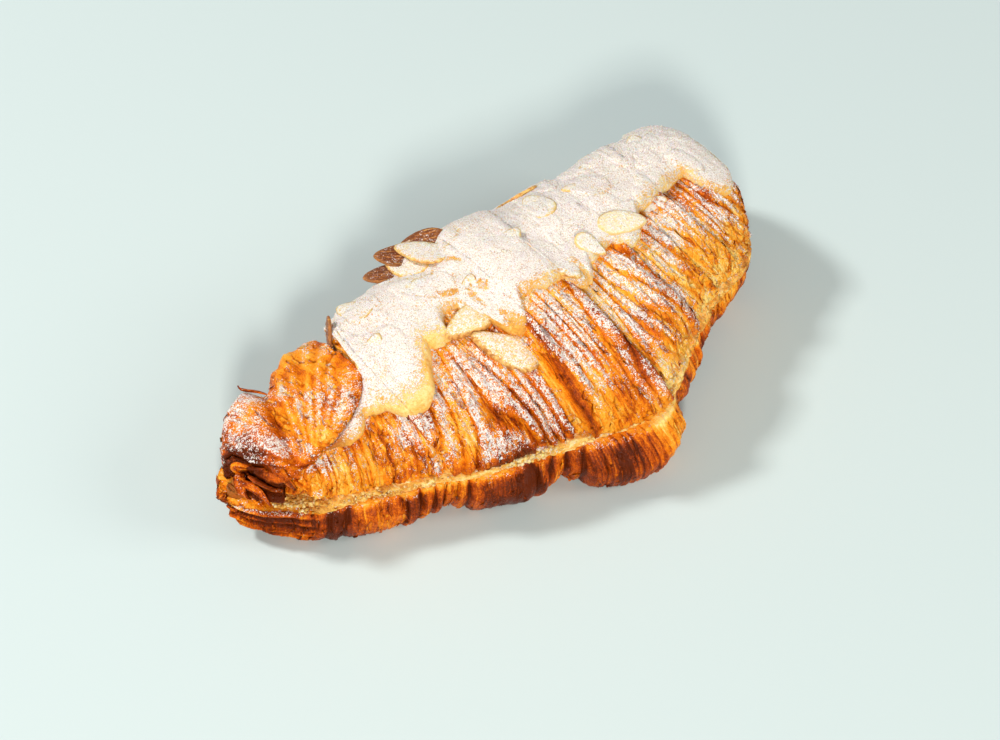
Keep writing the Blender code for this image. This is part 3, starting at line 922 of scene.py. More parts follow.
def foot_relief(lay, turn, height):
    """Relief of the lower half, how proud it is with painted shade in its grooves, and where the pages
    are. height is how high the smooth body is there.
    """
    bulge = sum(depth * hump((lay - middle) / half) for middle, half, depth in LOBES)
    front = ramp_up(turn, 1.5, WALL)
    wall = smooth_step(np.abs(turn - 1.5) / WALL)
    path = lay + 0.0045 * np.sin(math.pi * (turn - 1) * 2) * near(lay, 0.010, 0.014)
    path += 0.0010 * fractal(lay / 0.012, turn * 3, 71)
    lobe = near(lay, 0.012, 0.013)  # the middle lobe is finely lined, the rest is pleated
    finger, fade, tone = ridges(path / 0.0060 + 5 * ramp_up(lay, -0.005, 0.034), turn, 73)
    leaf, leaf_tone = hair_lines(path, turn, 0.0017, 79)
    hair, _ = hair_lines(path, turn, 0.0008, 83)
    pages = ramp_down(lay, -0.072, 0.010) * ramp_up(turn, 1.3, 0.3)
    level = height + 0.0010 * fractal(lay / 0.008, turn * 2, 89)
    page, page_tone = hair_lines(level, 0, 0.0021, 91)
    folds = 0.0024 * (finger - 0.6) * fade * (0.6 + 0.8 * tone) * (1 - 0.5 * lobe)
    smooth = near(lay, 0.020, 0.007)  # the right of the middle lobe is smooth and golden
    folds *= 1 - 0.8 * smooth
    folds += 0.0005 * (leaf - 0.4) * (0.2 + 1.2 * leaf_tone) * (1 + 0.8 * lobe)
    folds += 0.00018 * (hair - 0.4)
    folds = folds * (1 - pages) + pages * 0.0022 * (page - 0.35) * (0.4 + 1.2 * page_tone)
    rim = np.minimum(turn - 1, 2 - turn) / SHOULDER
    relief = (wall * LEDGE + bulge * front) * (RIM_SHARE + (1 - RIM_SHARE) * smooth_step(rim))
    relief += wall * folds * (0.6 + 0.4 * smooth_step(rim))
    relief += 0.0006 * fractal(lay / 0.010, turn * 6, 97) * wall
    # the grooves between the pleats are darkened as painted shade
    browning_and_shade = 0.75 * (1 - finger) * fade + (0.25 + 0.25 * lobe) * leaf + 0.15 * hair + 0.35 * tone
    browning_and_shade *= 1 - pages
    browning_and_shade *= 1 - 0.5 * smooth
    # between the pages the colour is darkened as painted shade
    return relief, np.clip(browning_and_shade + pages * (0.15 + 0.9 * (1 - page)), 0, 1), pages


# %% Build the lower half
def make_lower_half(columns=900, rows=84, flat=22):
    lay, turn = grid_of(columns, rows, 1, 2)
    points = section(lay, turn, False)
    ceiling = points[:, :1, 2]
    out, _ = frame_of(points)
    relief, browning_and_shade, pages = foot_relief(lay, turn, points[..., 2])
    points = points + out * relief[..., None]
    ragged = 0.0006 * fractal(lay / 0.0025, 0, 101)
    points[..., 2] = np.clip(points[..., 2], 0, ceiling + ragged)
    out, _ = frame_of(points)
    edge = np.minimum(turn - 1, 2 - turn)
    near_edge = 1 - smooth_step(edge / 0.05)
    bake = 0.80 + 0.34 * fractal(lay / 0.011, turn * 4, 107) + 0.66 * (browning_and_shade - 0.45)
    bake += 0.05 * near(lay, 0.010, 0.012) + 0.16 * near(lay, -0.066, 0.014)
    bake += 0.14 * ramp_up(edge, 0.18, 0.2) - 0.40 * near_edge
    bake += 0.10 * ramp_up(lay, 0.070, 0.02) - 0.04 * pages
    bake -= 0.30 * ramp_up(lay, 0.036, 0.01) * (1 - smooth_step(edge / 0.20))
    bake -= 0.34 * near(lay, 0.022, 0.008) + 0.22 * near(lay, -0.041, 0.005)
    sugar = 0.10 * pages + 0.40 * near_edge + 0.20 * fractal(lay / 0.006, turn * 8, 109)
    sugar = np.clip(sugar * np.clip(out[..., 2] + 0.55, 0, 1) * (turn > 1.5), 0, 1)
    cut = across(points[:, -1], points[:, 0], flat)  # the cut face shows where the halves gape
    x, y = cut[..., 0] / 0.0026, cut[..., 1] / 0.0026
    cut[..., 2] = np.minimum(cut[..., 2], ceiling) - 0.0006 * (0.8 + fractal(x, y, 103))
    face_sugar = np.clip(0.24 + 0.3 * fractal(x, y, 106), 0, 1)
    values = {"bake": (bake, 0.34 + 0.40 * fractal(x, y, 105)), "sugar": (sugar, face_sugar),
              "lay": (lay, cut[..., 0]), "turn": (turn, cut[..., 1] * 50)}
    values = {key: np.concatenate(both, 1) for key, both in values.items()}
    rings = np.concatenate([points, cut], 1)
    made = mesh_object("crust_lower_half", *tube(rings, values), foot_material, "lower_half")
    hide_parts("lower_half")
    return lay, turn, points, out, sugar, bake


lower = make_lower_half()

# %% [markdown]
# ## The filling
#
# The cream between the halves baked too. It shows as a pale crumbly line along the split, a little
# proud in places, with sugar on it. It is a thin slab with a rough edge.


# %% Cream material
CREAM_COLOURS = (
    (0.0, (0.96, 0.80, 0.48)),
    (0.30, (0.95, 0.68, 0.26)),
    (0.55, (0.88, 0.44, 0.070)),
    (1.0, (0.42, 0.12, 0.012)),
)


def make_cream_material():
    material, tree, shader = new_material("Baked almond cream", weight=0.25, scale=0.004)
    place = own_place(tree)
    crumb = noise_at(tree, place, Scale=1100.0, Detail=4.0, Roughness=0.75)
    patch = noise_at(tree, place, Scale=160.0, Detail=3.0, Roughness=0.6)
    stir = plus(tree, swing(tree, patch, 0.5, 0.4), swing(tree, crumb, 0.5, 1.0))
    level = plus(tree, stored(tree, "bake"), stir)
    colour = colour_ramp(tree, level, CREAM_COLOURS)
    sugared(tree, shader, colour, rough=0.6, height=crumb, bump=0.7, softness=0.10)
    return material


cream_material = make_cream_material()


# %% Build the filling
ROLLED_FROM = -0.0765  # left of here is the rolled end


def dusting(x):
    """Where along the split most sugar fell."""
    return near(x, -0.022, 0.012) + near(x, 0.005, 0.008)


def make_filling(columns=1100):
    lay, turn = np.meshgrid(np.linspace(-PATH_HALF * 0.985, PATH_HALF * 0.985, columns),
                            np.array([1.0, 2.0]), indexing="ij")
    edge = section(lay, turn, False)
    inset = 0.0002 + 0.011 * ramp_down(lay[:, :1], ROLLED_FROM, 0.006)
    inset = inset - 0.0009 * np.sin(lay / 0.0045) * np.sin(lay / 0.017)
    middle = edge.mean(1, keepdims=True)
    half = np.linalg.norm(edge - middle, axis=-1)
    x = lay[:, 0]
    frill = ramp_up(x, 0.038, 0.010)  # on the right it swelled out in a frill
    torn = ramp_down(x, -0.048, 0.012)  # on the left it tore
    rings, bakes, sugars = [], [], []
    profile = np.linspace(0, math.pi, 13)
    for side in (1, 0):
        for angle in profile if side else profile[::-1]:
            rough = fractal(x / 0.0016, angle * 1.8 + side * 9, 113, 3)
            rough = 0.0014 * (1 + 1.1 * frill + 0.9 * torn) * rough
            reach = inset[:, side] - (0.0014 + 0.0012 * frill) * math.sin(angle) - rough
            share = np.clip(1 - reach / np.maximum(half[:, side], 1e-6), 0.3, 1.1)
            place = middle[:, 0] + (edge[:, side] - middle[:, 0]) * share[:, None]
            place[:, 2] += FILLING / 2 - 0.0017 * math.cos(angle) + 0.4 * rough
            rings.append(place)
            bakes.append(0.46 + 0.14 * torn + 0.16 * frill
                         + 0.46 * fractal(x / 0.003, angle * 1.5, 127))
            sugars.append(0.20 + 0.24 * dusting(x) + 0.16 * math.cos(angle) ** 2 * (angle > 1.2)
                          + 0.2 * fractal(x / 0.005, 0, 129))
    inner = ramp_down(lay[:, :1], ROLLED_FROM, 0.005)  # there only dark layers show
    values = {"bake": np.stack(bakes, 1)[:, ::-1] + 0.75 * inner,
              "sugar": np.clip(np.stack(sugars, 1)[:, ::-1], 0, 1) * (1 - inner)}
    rings = np.stack(rings, 1)[:, ::-1]
    made = mesh_object("cream_filling", *tube(rings, values), cream_material, "almond_filling")
    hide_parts("almond_filling")


make_filling()

# %% [markdown]
# The edge of the filling broke into crumbs when the halves were closed, and some cling to the crust.
# They are small lumps of their own, joined into one piece.


# %% Crumbs along the split
def bodies_at(places, shapes, sides):
    """Points and faces of many small bodies with the same sides, each with its own shape and place."""
    count, corners = shapes.shape[:2]
    faces = np.array(sides)[None] + corners * np.arange(count)[:, None, None]
    return (places[:, None] + shapes).reshape(-1, 3), faces.reshape(count * len(sides), -1).tolist()


def lumps(places, sizes, draw, rough=0.25):
    """Rough little lumps with twelve corners, one at each place."""
    g = (1 + 5 ** 0.5) / 2
    corners = np.array([(-1, g, 0), (1, g, 0), (-1, -g, 0), (1, -g, 0), (0, -1, g), (0, 1, g),
                        (0, -1, -g), (0, 1, -g), (g, 0, -1), (g, 0, 1), (-g, 0, -1), (-g, 0, 1)])
    corners /= np.linalg.norm(corners[0])
    sides = [(0, 11, 5), (0, 5, 1), (0, 1, 7), (0, 7, 10), (0, 10, 11), (1, 5, 9), (5, 11, 4),
             (11, 10, 2), (10, 7, 6), (7, 1, 8), (3, 9, 4), (3, 4, 2), (3, 2, 6), (3, 6, 8),
             (3, 8, 9), (4, 9, 5), (2, 4, 11), (6, 2, 10), (8, 6, 7), (9, 8, 1)]
    shapes = corners[None] * draw.uniform(1 - rough, 1 + rough, (len(places), 12, 1))
    shapes = shapes * draw.uniform(0.6, 1.3, (len(places), 1, 3)) * sizes[:, None, None]
    return bodies_at(places, shapes, sides)


def split_edge(lay):
    """Places on the front edge of the split, and which way is out there."""
    edge, inner = [section(lay, np.full_like(lay, turn), False)[:, 0] for turn in (2.0, 1.9)]
    return edge, unit((edge - inner) * (1, 1, 0), 1e-9)


def make_crumbs(count=3400, bed=900):
    draw = np.random.default_rng(5)
    lay = draw.uniform(-0.081, 0.096, count)
    lay = lay[draw.uniform(0, 1, count) < 0.45 + 0.5 * fractal(lay / 0.007, 0, 117)]
    edge, outward = split_edge(lay[:, None])
    count = len(edge)
    places = edge + outward * draw.uniform(-0.0002, 0.0012, (count, 1))
    places[:, 2] += draw.uniform(0.0002, FILLING + 0.0002, count)
    dusted = np.clip(dusting(lay), 0, 1)
    sizes = draw.uniform(0.00016, 0.00055, count) * (1 + 0.5 * dusted)
    bakes = draw.uniform(0.15, 0.85, count) - 0.2 * dusted
    sugars = draw.uniform(0.0, 0.5, count)
    # at the left the crust draws back, and crumbs lie on top of the filling too
    edge, outward = split_edge(draw.uniform(-0.086, -0.060, bed)[:, None])
    inside = edge - outward * draw.uniform(0.0, 0.008, (bed, 1))
    inside[:, 2] += FILLING + draw.uniform(-0.0002, 0.0003, bed)
    sizes = np.concatenate([sizes, draw.uniform(0.0003, 0.0008, bed)])
    points, faces = lumps(np.concatenate([places, inside]), sizes, draw)
    values = {"bake": np.repeat(np.concatenate([bakes, draw.uniform(0.2, 0.9, bed)]), 12),
              "sugar": np.repeat(np.concatenate([sugars, draw.uniform(0.0, 0.3, bed)]), 12)}
    mesh_object("filling_crumbs", points, faces, values, cream_material, "almond_filling")


make_crumbs()

# %% [markdown]
# ## The topping
#
# Almond cream is spread on top and runs down a little in the oven, so its front edge hangs in
# lobes, thick and rounded, and it follows the steps of the tiers under it. It is a slab laid over
# the crust: for each section, the reach of the slab front and back, and a thickness that rounds off
# at its edges. Its top is almost hidden by sugar, and its hanging edges are golden.

# %% Reach and thickness
TOPPING_THICK, TOPPING_ROUND = 0.0032, 0.0030
TOPPING_FROM, TOPPING_TO = -0.074, 0.094
TOPPING_FRONT, TOPPING_BACK = 0.42, 0.84
FLAP_CLEAR, SOFT_LENGTH = 0.0014, 0.016
# Middle, half-length, how far down it hangs as a share of the way over
TOPPING_LOBES = (
    (-0.055, 0.022, 0.09),
    (-0.066, 0.010, 0.08),
    (-0.040, 0.010, 0.08),
    (-0.0065, 0.0055, 0.07),
    (-0.0180, 0.0055, -0.075),
    (0.018, 0.006, 0.04),
    (0.041, 0.007, 0.05),
    (0.083, 0.011, 0.13),
)


def flap_turn(lay):
    """Share of the way over where the edge of the flap passes: flap_edge the other way round."""
    share = np.clip((lay - FLAP_FOOT) / FLAP_REACH, 0, 1)
    return FLAP_START + FLAP_SPAN * (0.5 - np.sin(np.arcsin(1 - 2 * share) / 3))


def topping_reach(lay):
    """Front and back edge of the topping, as shares of the way over, and how full it is."""
    lobes = sum(reach * hump((lay - middle) / half) for middle, half, reach in TOPPING_LOBES)
    front = TOPPING_FRONT - lobes + 0.010 * fractal(lay / 0.0045, 0, 131, 3)
    clear = lay - FLAP_CLEAR
    past_flap = smooth_step((clear - FLAP_FOOT - FLAP_REACH) / 0.006)
    back = TOPPING_BACK + 0.02 * np.sin(lay / 0.006) + 0.012 * fractal(lay / 0.004, 0, 137, 3)
    back = flap_turn(clear) * (1 - past_flap) + back * past_flap
    taper = ramp_up(lay, TOPPING_FROM, 0.010) * ramp_down(lay, TOPPING_TO, 0.012)
    middle, half = (front + back) / 2, np.maximum(back - front, 0.02) / 2 * np.sqrt(taper)
    return middle - half, middle + half, taper


def soft_dome(lay, turn):
    """The crust as the topping feels it: steps softened, no ridges."""
    points = section(lay, turn, True)
    out, _ = frame_of(points)
    relief, _, _, _ = tiers(lay, turn, 0.0028, 0.0)
    reach = max(int(SOFT_LENGTH / (lay[1, 0] - lay[0, 0])), 1)
    kernel = np.hanning(2 * reach + 1)[1:-1]
    kernel = kernel / kernel.sum()
    padded = np.pad(relief, ((reach - 1, reach - 1), (0, 0)), mode="edge")
    filled = sum(weight * padded[k:k + len(relief)] for k, weight in enumerate(kernel))
    points = points + out * (0.18 * relief + 0.82 * np.maximum(filled, relief - 0.0009))[..., None]
    return points, frame_of(points)[0]

# %% [markdown]
# The sliced almonds are listed before the cream is built, because it bulges over those in it. The
# first three are drawn thicker, because sugar and cream stick to them.

# %% Where the slices lie
# Place along, share of the way over, heading, lift of the pointed end, size, toast, bend, roll,
# and how far it sank, in steps of SLICE_STEP
SLICES = (
    (-0.0135, 0.342, 134, 2, 1.38, 0.34, 0.3, 0, -1.2),
    (-0.0172, 0.438, 190, 2, 1.02, 0.30, 0.3, 0, -2.2),
    (0.0400, 0.428, 318, 1, 0.98, 0.05, 0.5, 0, -0.3),
    (0.0266, 0.441, 291, 1, 0.66, 0.10, 0.5, 0, 0.1),
    (0.0550, 0.42, 330, 4, 0.65, 0.05, 0.2, 0, 0.1),
    (0.0140, 0.44, 280, 3, 0.90, 0.25, 0.3, 0, 1.0),
    (-0.0110, 0.49, 60, 4, 0.85, 0.30, 0.4, 0, 0.9),
    (-0.0180, 0.60, 150, 5, 1.00, 0.15, 0.3, 0, 1.1),
    (0.0060, 0.56, 20, 4, 1.00, 0.10, 0.3, 0, 1.2),
    (-0.0155, 0.735, 104, 17, 1.05, 0.25, 0.9, -6, -0.2),
    (-0.0095, 0.715, 112, 22, 1.20, 0.25, 0.9, 12, -0.2),
    (-0.0050, 0.752, 150, 27, 1.00, 0.95, 0.6, -30, 0.2),
    (-0.0135, 0.762, 138, 30, 1.10, 1.00, 0.7, -24, 0.0),
    (-0.0205, 0.770, 150, 18, 0.95, 1.00, 0.8, -25, 0.0),
    (-0.0450, 0.690, 156, 17, 0.64, 1.00, 0.6, -12, 0.0),
    (0.0260, 0.64, 75, 4, 1.00, 0.10, 0.3, 0, 1.1),
    (0.0420, 0.60, 140, 4, 0.90, 0.15, 0.3, 0, 1.2),
    (0.0500, 0.74, 15, 5, 1.00, 0.20, 0.4, 0, 1.1),
    (0.0680, 0.62, 60, 4, 0.90, 0.10, 0.3, 0, 1.2),
    (0.0280, 0.78, 160, 6, 1.00, 0.30, 0.5, 0, 0.8),
    (-0.0370, 0.70, 100, 5, 0.95, 0.20, 0.4, 0, 1.1),
    (-0.0440, 0.48, 40, 4, 0.85, 0.15, 0.3, 0, 1.2),
)
# These are coated with sugar and cream: number in the list, how much thicker, how much narrower
COATED = {0: (2.6, 0.80), 1: (2.6, 1.0), 2: (1.6, 1.0)}
SLICE_LENGTH, SLICE_WIDTH, SLICE_THICK = 0.0155, 0.0088, 0.0011
SLICE_BLUNT, SLICE_SUNK, SLICE_SET, SLICE_STEP = 0.35, 0.0012, 0.0003, 0.0006

# %% [markdown]
# The sieve missed a few spots, where the cream shows golden. Slices that the cream covers push its
# top up a little, and the rims that face the front shine through. Both are flat shapes that lie
# turned on the dome, so they share one helper.

# %% Bare golden patches on the cream
# Place along, share of the way over, heading, half-length, half-width
BARE = (
    (-0.0152, 0.526, 342, 0.0036, 0.0011),
    (-0.0069, 0.501, 350, 0.0034, 0.0014),
    (-0.0105, 0.484, 283, 0.0030, 0.0014),
    (-0.0065, 0.378, 283, 0.0045, 0.0024),
    (0.0189, 0.409, 270, 0.0030, 0.0018),
    (-0.0084, 0.685, 286, 0.0050, 0.0011),
    (-0.0070, 0.640, 300, 0.0060, 0.0010),
)


def turned(lay, turn, place, share, heading):
    """How far each point lies from a place on the dome: along a heading, across it, and backwards."""
    c, n = math.cos(math.radians(heading)), math.sin(math.radians(heading))
    x, y = lay - place, (turn - share) * HALF_ROUND
    return x * c + y * n, y * c - x * n, y


def bare_patches(lay, turn):
    bare = 0 * lay
    ragged = 0.6 * fractal(lay / 0.002, turn * 40, 171)
    for place, share, heading, half, width in BARE:
        u, v, _ = turned(lay, turn, place, share, heading)
        reach = 1.3 * np.hypot(u / half, v / width) + ragged
        bare = np.maximum(bare, ramp_down(reach, 1.25, 0.5))
    return bare


# %% Slices under the cream
def buried_slices(lay, turn, extra=34):
    """Height of the slices that the cream covers, and the rims that face the front."""
    draw = np.random.default_rng(3)
    laid = [entry[:3] + (entry[4],) for entry in SLICES]
    laid += [(draw.uniform(-0.060, 0.086), draw.uniform(0.36, 0.80), draw.uniform(0, 360),
              draw.uniform(0.5, 1.15)) for _ in range(extra)]
    raised, rims = 0 * lay, 0 * lay
    for place, share, heading, size in laid:
        u, v, back = turned(lay, turn, place, share, heading)
        u, v = u / (SLICE_LENGTH / 2 * size), v / (SLICE_WIDTH / 2 * size)
        reach = np.sqrt(u * u + (v / (1 - SLICE_BLUNT * np.clip(u, -1, 1))) ** 2)
        raised = np.maximum(raised, ramp_down(reach, 1.06, 0.14) * draw.uniform(0.35, 1.0))
        shown = max(draw.uniform(-1.2, 0.8), 0) * 0.6
        rims = np.maximum(rims, near(reach, 1.03, 0.09) * smooth_step(0.2 - back / 0.003) * shown)
    return raised, rims


# %% Build the topping
def make_topping(columns=640, rows=128, under=10):
    lay = np.linspace(TOPPING_FROM + 0.0004, TOPPING_TO - 0.0006, columns)[:, None]
    start, end, taper = topping_reach(lay)
    turn = start + (end - start) * (1 - np.cos(np.linspace(0, math.pi, rows))) / 2
    lay = lay + 0 * turn
    base, out = soft_dome(lay, turn)
    arc = np.linalg.norm(np.diff(base, axis=1), axis=-1).sum(1, keepdims=True) / (end - start)
    side = np.clip(np.minimum(turn - start, end - turn) * arc / TOPPING_ROUND, 0, 1)
    thick = TOPPING_THICK * (1 + 0.15 * np.sin(lay / 0.007) * np.sin(turn / 0.05))
    thick += 0.0006 * fractal(lay / 0.011, turn * 8, 139)
    thick += 0.00022 * fractal(lay / 0.0016, turn * 50, 149)
    raised, rims = buried_slices(lay, turn)
    plump = np.sqrt(1 - (1 - side) ** 2)
    thick = np.maximum(thick, 0.0012) * plump * np.sqrt(taper) + 0.0003 + 0.0007 * raised * plump
    top = base + out * thick[..., None]
    low_turn = start + (end - start) * (0.04 + 0.92 * np.linspace(1, 0, under))
    low, low_out = soft_dome(lay[:, :1] + 0 * low_turn, low_turn)
    low = low - low_out * 0.0006
    face, _ = frame_of(top)
    # the sugar lies on top, and thins out towards the front edge
    front = (turn - start) * arc + 0.0012 * fractal(lay / 0.003, turn * 30, 163)
    wide = np.maximum(0.0024 + 0.0020 * fractal(lay / 0.009, 0, 167), 0.0008)
    bare = bare_patches(lay, turn)
    sugar = 0.89 + 0.12 * fractal(lay / 0.009, turn * 10, 151) - 0.6 * rims
    sugar *= ramp_up(face[..., 2], -0.10, 0.38) * (0.58 + 0.42 * smooth_step(front / wide / 1.6))
    sugar -= 0.34 * bare + 0.70 * near(lay, -0.040, 0.012) * (1 - smooth_step(front / 0.010))
    bake = 0.44 + 0.22 * fractal(lay / 0.007, turn * 12, 157) + 0.02 * (1 - smooth_step(front / 0.004))
    bake += 0.10 * rims + 0.12 * bare + 0.3 * smooth_step((turn - end + 0.05) / 0.05)
    # the tip at the broad end, and the thin tongue beside the flap, baked golden
    tip = ramp_up(lay, 0.083, 0.006) * (1 - ramp_up(turn, 0.48, 0.10))
    tongue = ramp_down(lay, -0.061, 0.003)
    bake += 0.12 * tip + 0.12 * tongue
    sugar = np.clip((sugar - 0.40 * tip) * (1 - 0.35 * tongue), 0, 1)
    rest = np.zeros_like(low_turn)
    values = {"bake": np.concatenate([bake, rest + 0.5], 1), "sugar": np.concatenate([sugar, rest], 1)}
    rings = np.concatenate([top, low], 1)
    made = mesh_object("cream_topping", *tube(rings, values), cream_material, "almond_topping")
    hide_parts("almond_topping")
    return lay, turn, top, face, sugar


topping = make_topping()

# %% [markdown]
# ## Flakes
#
# The outermost leaf of a croissant is thinner than paper. It blisters, breaks and lifts, so the crust
# is never smooth like wood: it is covered in little shards that lie along the ridges with one edge
# free and baked darker. Each flake here is a small closed sheet that follows the finished crust under
# it and rises towards its free edge. They are cut from the same grid as the crust, so they fit it.


# %% Reading a grid between its points
def read_grid(grid, i, j):
    i, j = np.clip(i, 0, grid.shape[0] - 1.001), np.clip(j, 0, grid.shape[1] - 1.001)
    m, n = i.astype(int), j.astype(int)
    f, g = i - m, j - n
    if grid.ndim == 3:
        f, g = f[..., None], g[..., None]
    return ((grid[m, n] * (1 - f) + grid[m + 1, n] * f) * (1 - g)
            + (grid[m, n + 1] * (1 - f) + grid[m + 1, n + 1] * f) * g)


# %% The sides of a flake
FLAKE_ALONG, FLAKE_ACROSS, FLAKE_SKIN, FLAKE_GAP = 5, 3, 0.00010, 0.00006


def flake_sides():
    """Sides of a closed sheet that has its upper grid of points first, and then its lower one."""
    a, b = FLAKE_ALONG, FLAKE_ACROSS
    top = [(i * b + j, (i + 1) * b + j, (i + 1) * b + j + 1, i * b + j + 1)
           for i in range(a - 1) for j in range(b - 1)]
    rim = ([i * b for i in range(a)] + [(a - 1) * b + j for j in range(1, b)]
           + [i * b + b - 1 for i in range(a - 2, -1, -1)] + [j for j in range(b - 2, 0, -1)])
    low = a * b
    sides = top + [tuple(low + k for k in side[::-1]) for side in top]
    return sides + [(p, p + low, q + low, q) for q, p in zip(rim, rim[1:] + rim[:1])]


# %% Cutting flakes from the crust
def make_flakes(name, surface, lean, keep, count, longest, widest, lift, seed, material, slot):
    """lean says how far the layers lean at a place, and keep where flakes lie."""
    lays, turns, grid, out, amount, bake = surface
    draw = np.random.default_rng(seed)
    i = draw.uniform(8, grid.shape[0] - 9, count * 4)
    j = draw.uniform(2, grid.shape[1] - 3, count * 4)
    luck = draw.uniform(0, 1, count * 4)
    chosen = np.flatnonzero(keep(read_grid(lays, i, j), read_grid(turns, i, j), luck))[:count]
    i, j = i[chosen][:, None, None], j[chosen][:, None, None]
    count = len(chosen)
    step_i, step_j = [np.linalg.norm(read_grid(np.gradient(grid, axis=axis), i, j), axis=-1)
                      for axis in (0, 1)]

    def each(low, high):
        return draw.uniform(low, high, (count, 1, 1))

    s = np.linspace(-1, 1, FLAKE_ALONG)[None, :, None]
    w = np.linspace(0, 1, FLAKE_ACROSS)[None, None, :]
    side = np.where(each(0, 1) < 0.7, -1, 1)
    half = longest * each(0.25, 1) ** 1.5 / 2
    width = widest * each(0.4, 1)
    torn = 1 - np.abs(s) ** 2.5 * 0.8 + draw.uniform(-0.25, 0.25, (count, FLAKE_ALONG, 1))
    jj = j + s * half / step_j + 0.25 * w * each(-1, 1)
    shift = over_top(read_grid(turns, i, j)) - over_top(read_grid(turns, i + 0 * jj, jj))
    ii = i + (side * w * width * torn + lean(read_grid(lays, i, j)) * shift) / step_i
    at, up = read_grid(grid, ii, jj), unit(read_grid(out, ii, jj), 1e-9)
    rise = each(0.15, 1) ** 2 * lift
    height = FLAKE_GAP + rise * w ** 1.4 * (0.7 + 0.5 * s * each(-1, 1))
    low = height - FLAKE_SKIN * (1 + 2 * (1 - w))
    points = np.stack([at + up * height[..., None], at + up * low[..., None]], 1)
    points[..., 2] = np.maximum(points[..., 2], 0.0001)
    shade = read_grid(bake, ii, jj) + each(-0.30, 0.08) + 0.22 * w
    sugar = np.clip(read_grid(amount, ii, jj) + 0.05 + 0.1 * w, 0, 1)
    lay, turn = read_grid(lays, ii, jj), read_grid(turns, ii, jj)
    values = {"bake": (shade, shade + 0.1), "sugar": (sugar, 0 * sugar),
              "lay": (lay, lay), "turn": (turn, turn)}
    values = {key: np.stack(both, 1) for key, both in values.items()}
    sides = flake_sides()
    points, faces = bodies_at(np.zeros((count, 3)), points.reshape(count, -1, 3), sides)
    flips = np.repeat(side, len(sides))
    forward = [face if flip < 0 else face[::-1] for face, flip in zip(faces, flips)]
    mesh_object(name, points, forward, values, material, slot)


# %% Lay the flakes
def on_open_crust(lay, turn, luck):
    """Not under the topping, and fewer on the flap and low on the back."""
    start, end, _ = topping_reach(lay[:, None])
    covered = (turn > start[:, 0] + 0.015) & (turn < end[:, 0] - 0.02)
    covered &= (lay > TOPPING_FROM) & (lay < TOPPING_TO)
    fewer = np.where(flap_edge(turn) > lay, 0.25, 1.0) * np.where(turn > 0.97, 0.3, 1.0)
    return ~covered & (luck < fewer)


def on_foot(lay, turn, luck):
    """Not on the flat underside."""
    return (luck < smooth_step((np.abs(turn - 1.5) - 0.20) / 0.1)) & (turn < 1.97)


make_flakes("crust_flakes", upper, lean_of, on_open_crust, count=2300, longest=0.0085, widest=0.0017,
            lift=0.00075, seed=31, material=crust_material, slot="upper_half")
make_flakes("foot_flakes", lower, np.zeros_like, on_foot, count=800, longest=0.0070, widest=0.0013,
            lift=0.00055, seed=37, material=foot_material, slot="lower_half")

# %% [markdown]
# ## Curled strips
#
# At the narrow end the roll shows its inside: strips of dough that curl round a hollow painted dark
# as shade, and at the back of the flap a thin shard came loose. A strip is a flat tube swept along a
# path, so it is drawn by a few places on the crust, a width and a thickness, and its layers run along
# it.

# %% Strips at the rolled end
# Places on the upper half as lay and turn, then width, thickness, and lift off the crust
CURLS = (
    (((-0.0950, 0.42), (-0.0898, 0.44), (-0.0867, 0.386), (-0.0842, 0.311), (-0.0821, 0.223),
      (-0.0812, 0.11)), 0.0036, 0.0017, 0.0011),
    (((-0.0945, 0.28), (-0.0896, 0.320), (-0.0874, 0.270), (-0.0860, 0.190), (-0.0856, 0.100)),
     0.0026, 0.0012, 0.0014),
    (((-0.0990, 0.36), (-0.0972, 0.22), (-0.0952, 0.10), (-0.0920, 0.015)), 0.0034, 0.0014, 0.0010),
    (((-0.0965, 0.20), (-0.0930, 0.13), (-0.0895, 0.07), (-0.0868, 0.02)), 0.0024, 0.0010, 0.0012),
)
# Points of the loose shard, the way its broad side faces, its width and its thickness
SHARD = ((-0.0690, 0.0275, 0.0262), (-0.0722, 0.0300, 0.0280), (-0.0748, 0.0322, 0.0285),
         (-0.0758, 0.0334, 0.0300))
SHARD_UP, SHARD_SIZE = (0.2, 0.3, 1.0), (0.0014, 0.0006)


def strip(path, up, width, thick, seed, count=70, around=20):
    """Rings of a flat tube along a path of points, with layered sides."""
    path, up = np.array(path), np.array(up)
    share, fine = np.linspace(0, 1, len(path)), np.linspace(0, 1, count)
    degree = min(len(path) - 1, 4)
    curves = [np.polynomial.Polynomial.fit(share, path[:, k], degree) for k in range(3)]
    line = np.stack([curve(fine) for curve in curves], -1)
    out = np.stack([np.interp(fine, share, up[:, k]) for k in range(3)], -1)
    ahead = unit(np.gradient(line, axis=0))
    side = unit(np.cross(out, ahead))
    out = np.cross(ahead, side)
    angle = np.linspace(0, 2 * math.pi, around + 1)[:-1][None, :]
    taper = (np.sin(math.pi * np.clip(fine, 0.02, 0.98)) ** 0.35)[:, None]
    rough = 1 + 0.12 * fractal(fine[:, None] * 12, angle * 1.4, seed) + 0.10 * np.sin(9 * angle + seed)
    across_it = np.cos(angle) * width / 2 * taper * rough
    above = np.sin(angle) * thick / 2 * taper * rough + 0.5 * across_it ** 2 / width
    rings = line[:, None] + across_it[..., None] * side[:, None] + above[..., None] * out[:, None]
    shade = 0.35 * fractal(fine[:, None] * 5, angle * 2, seed + 3)
    values = {"bake": 0.80 + shade - 0.10 * np.sin(angle),
              "sugar": 0.30 * np.clip(np.sin(angle), 0, 1) + 0 * taper,
              "lay": angle * 0.002 + 0 * taper, "turn": fine[:, None] * 0.3 + 0 * angle}
    return rings, values


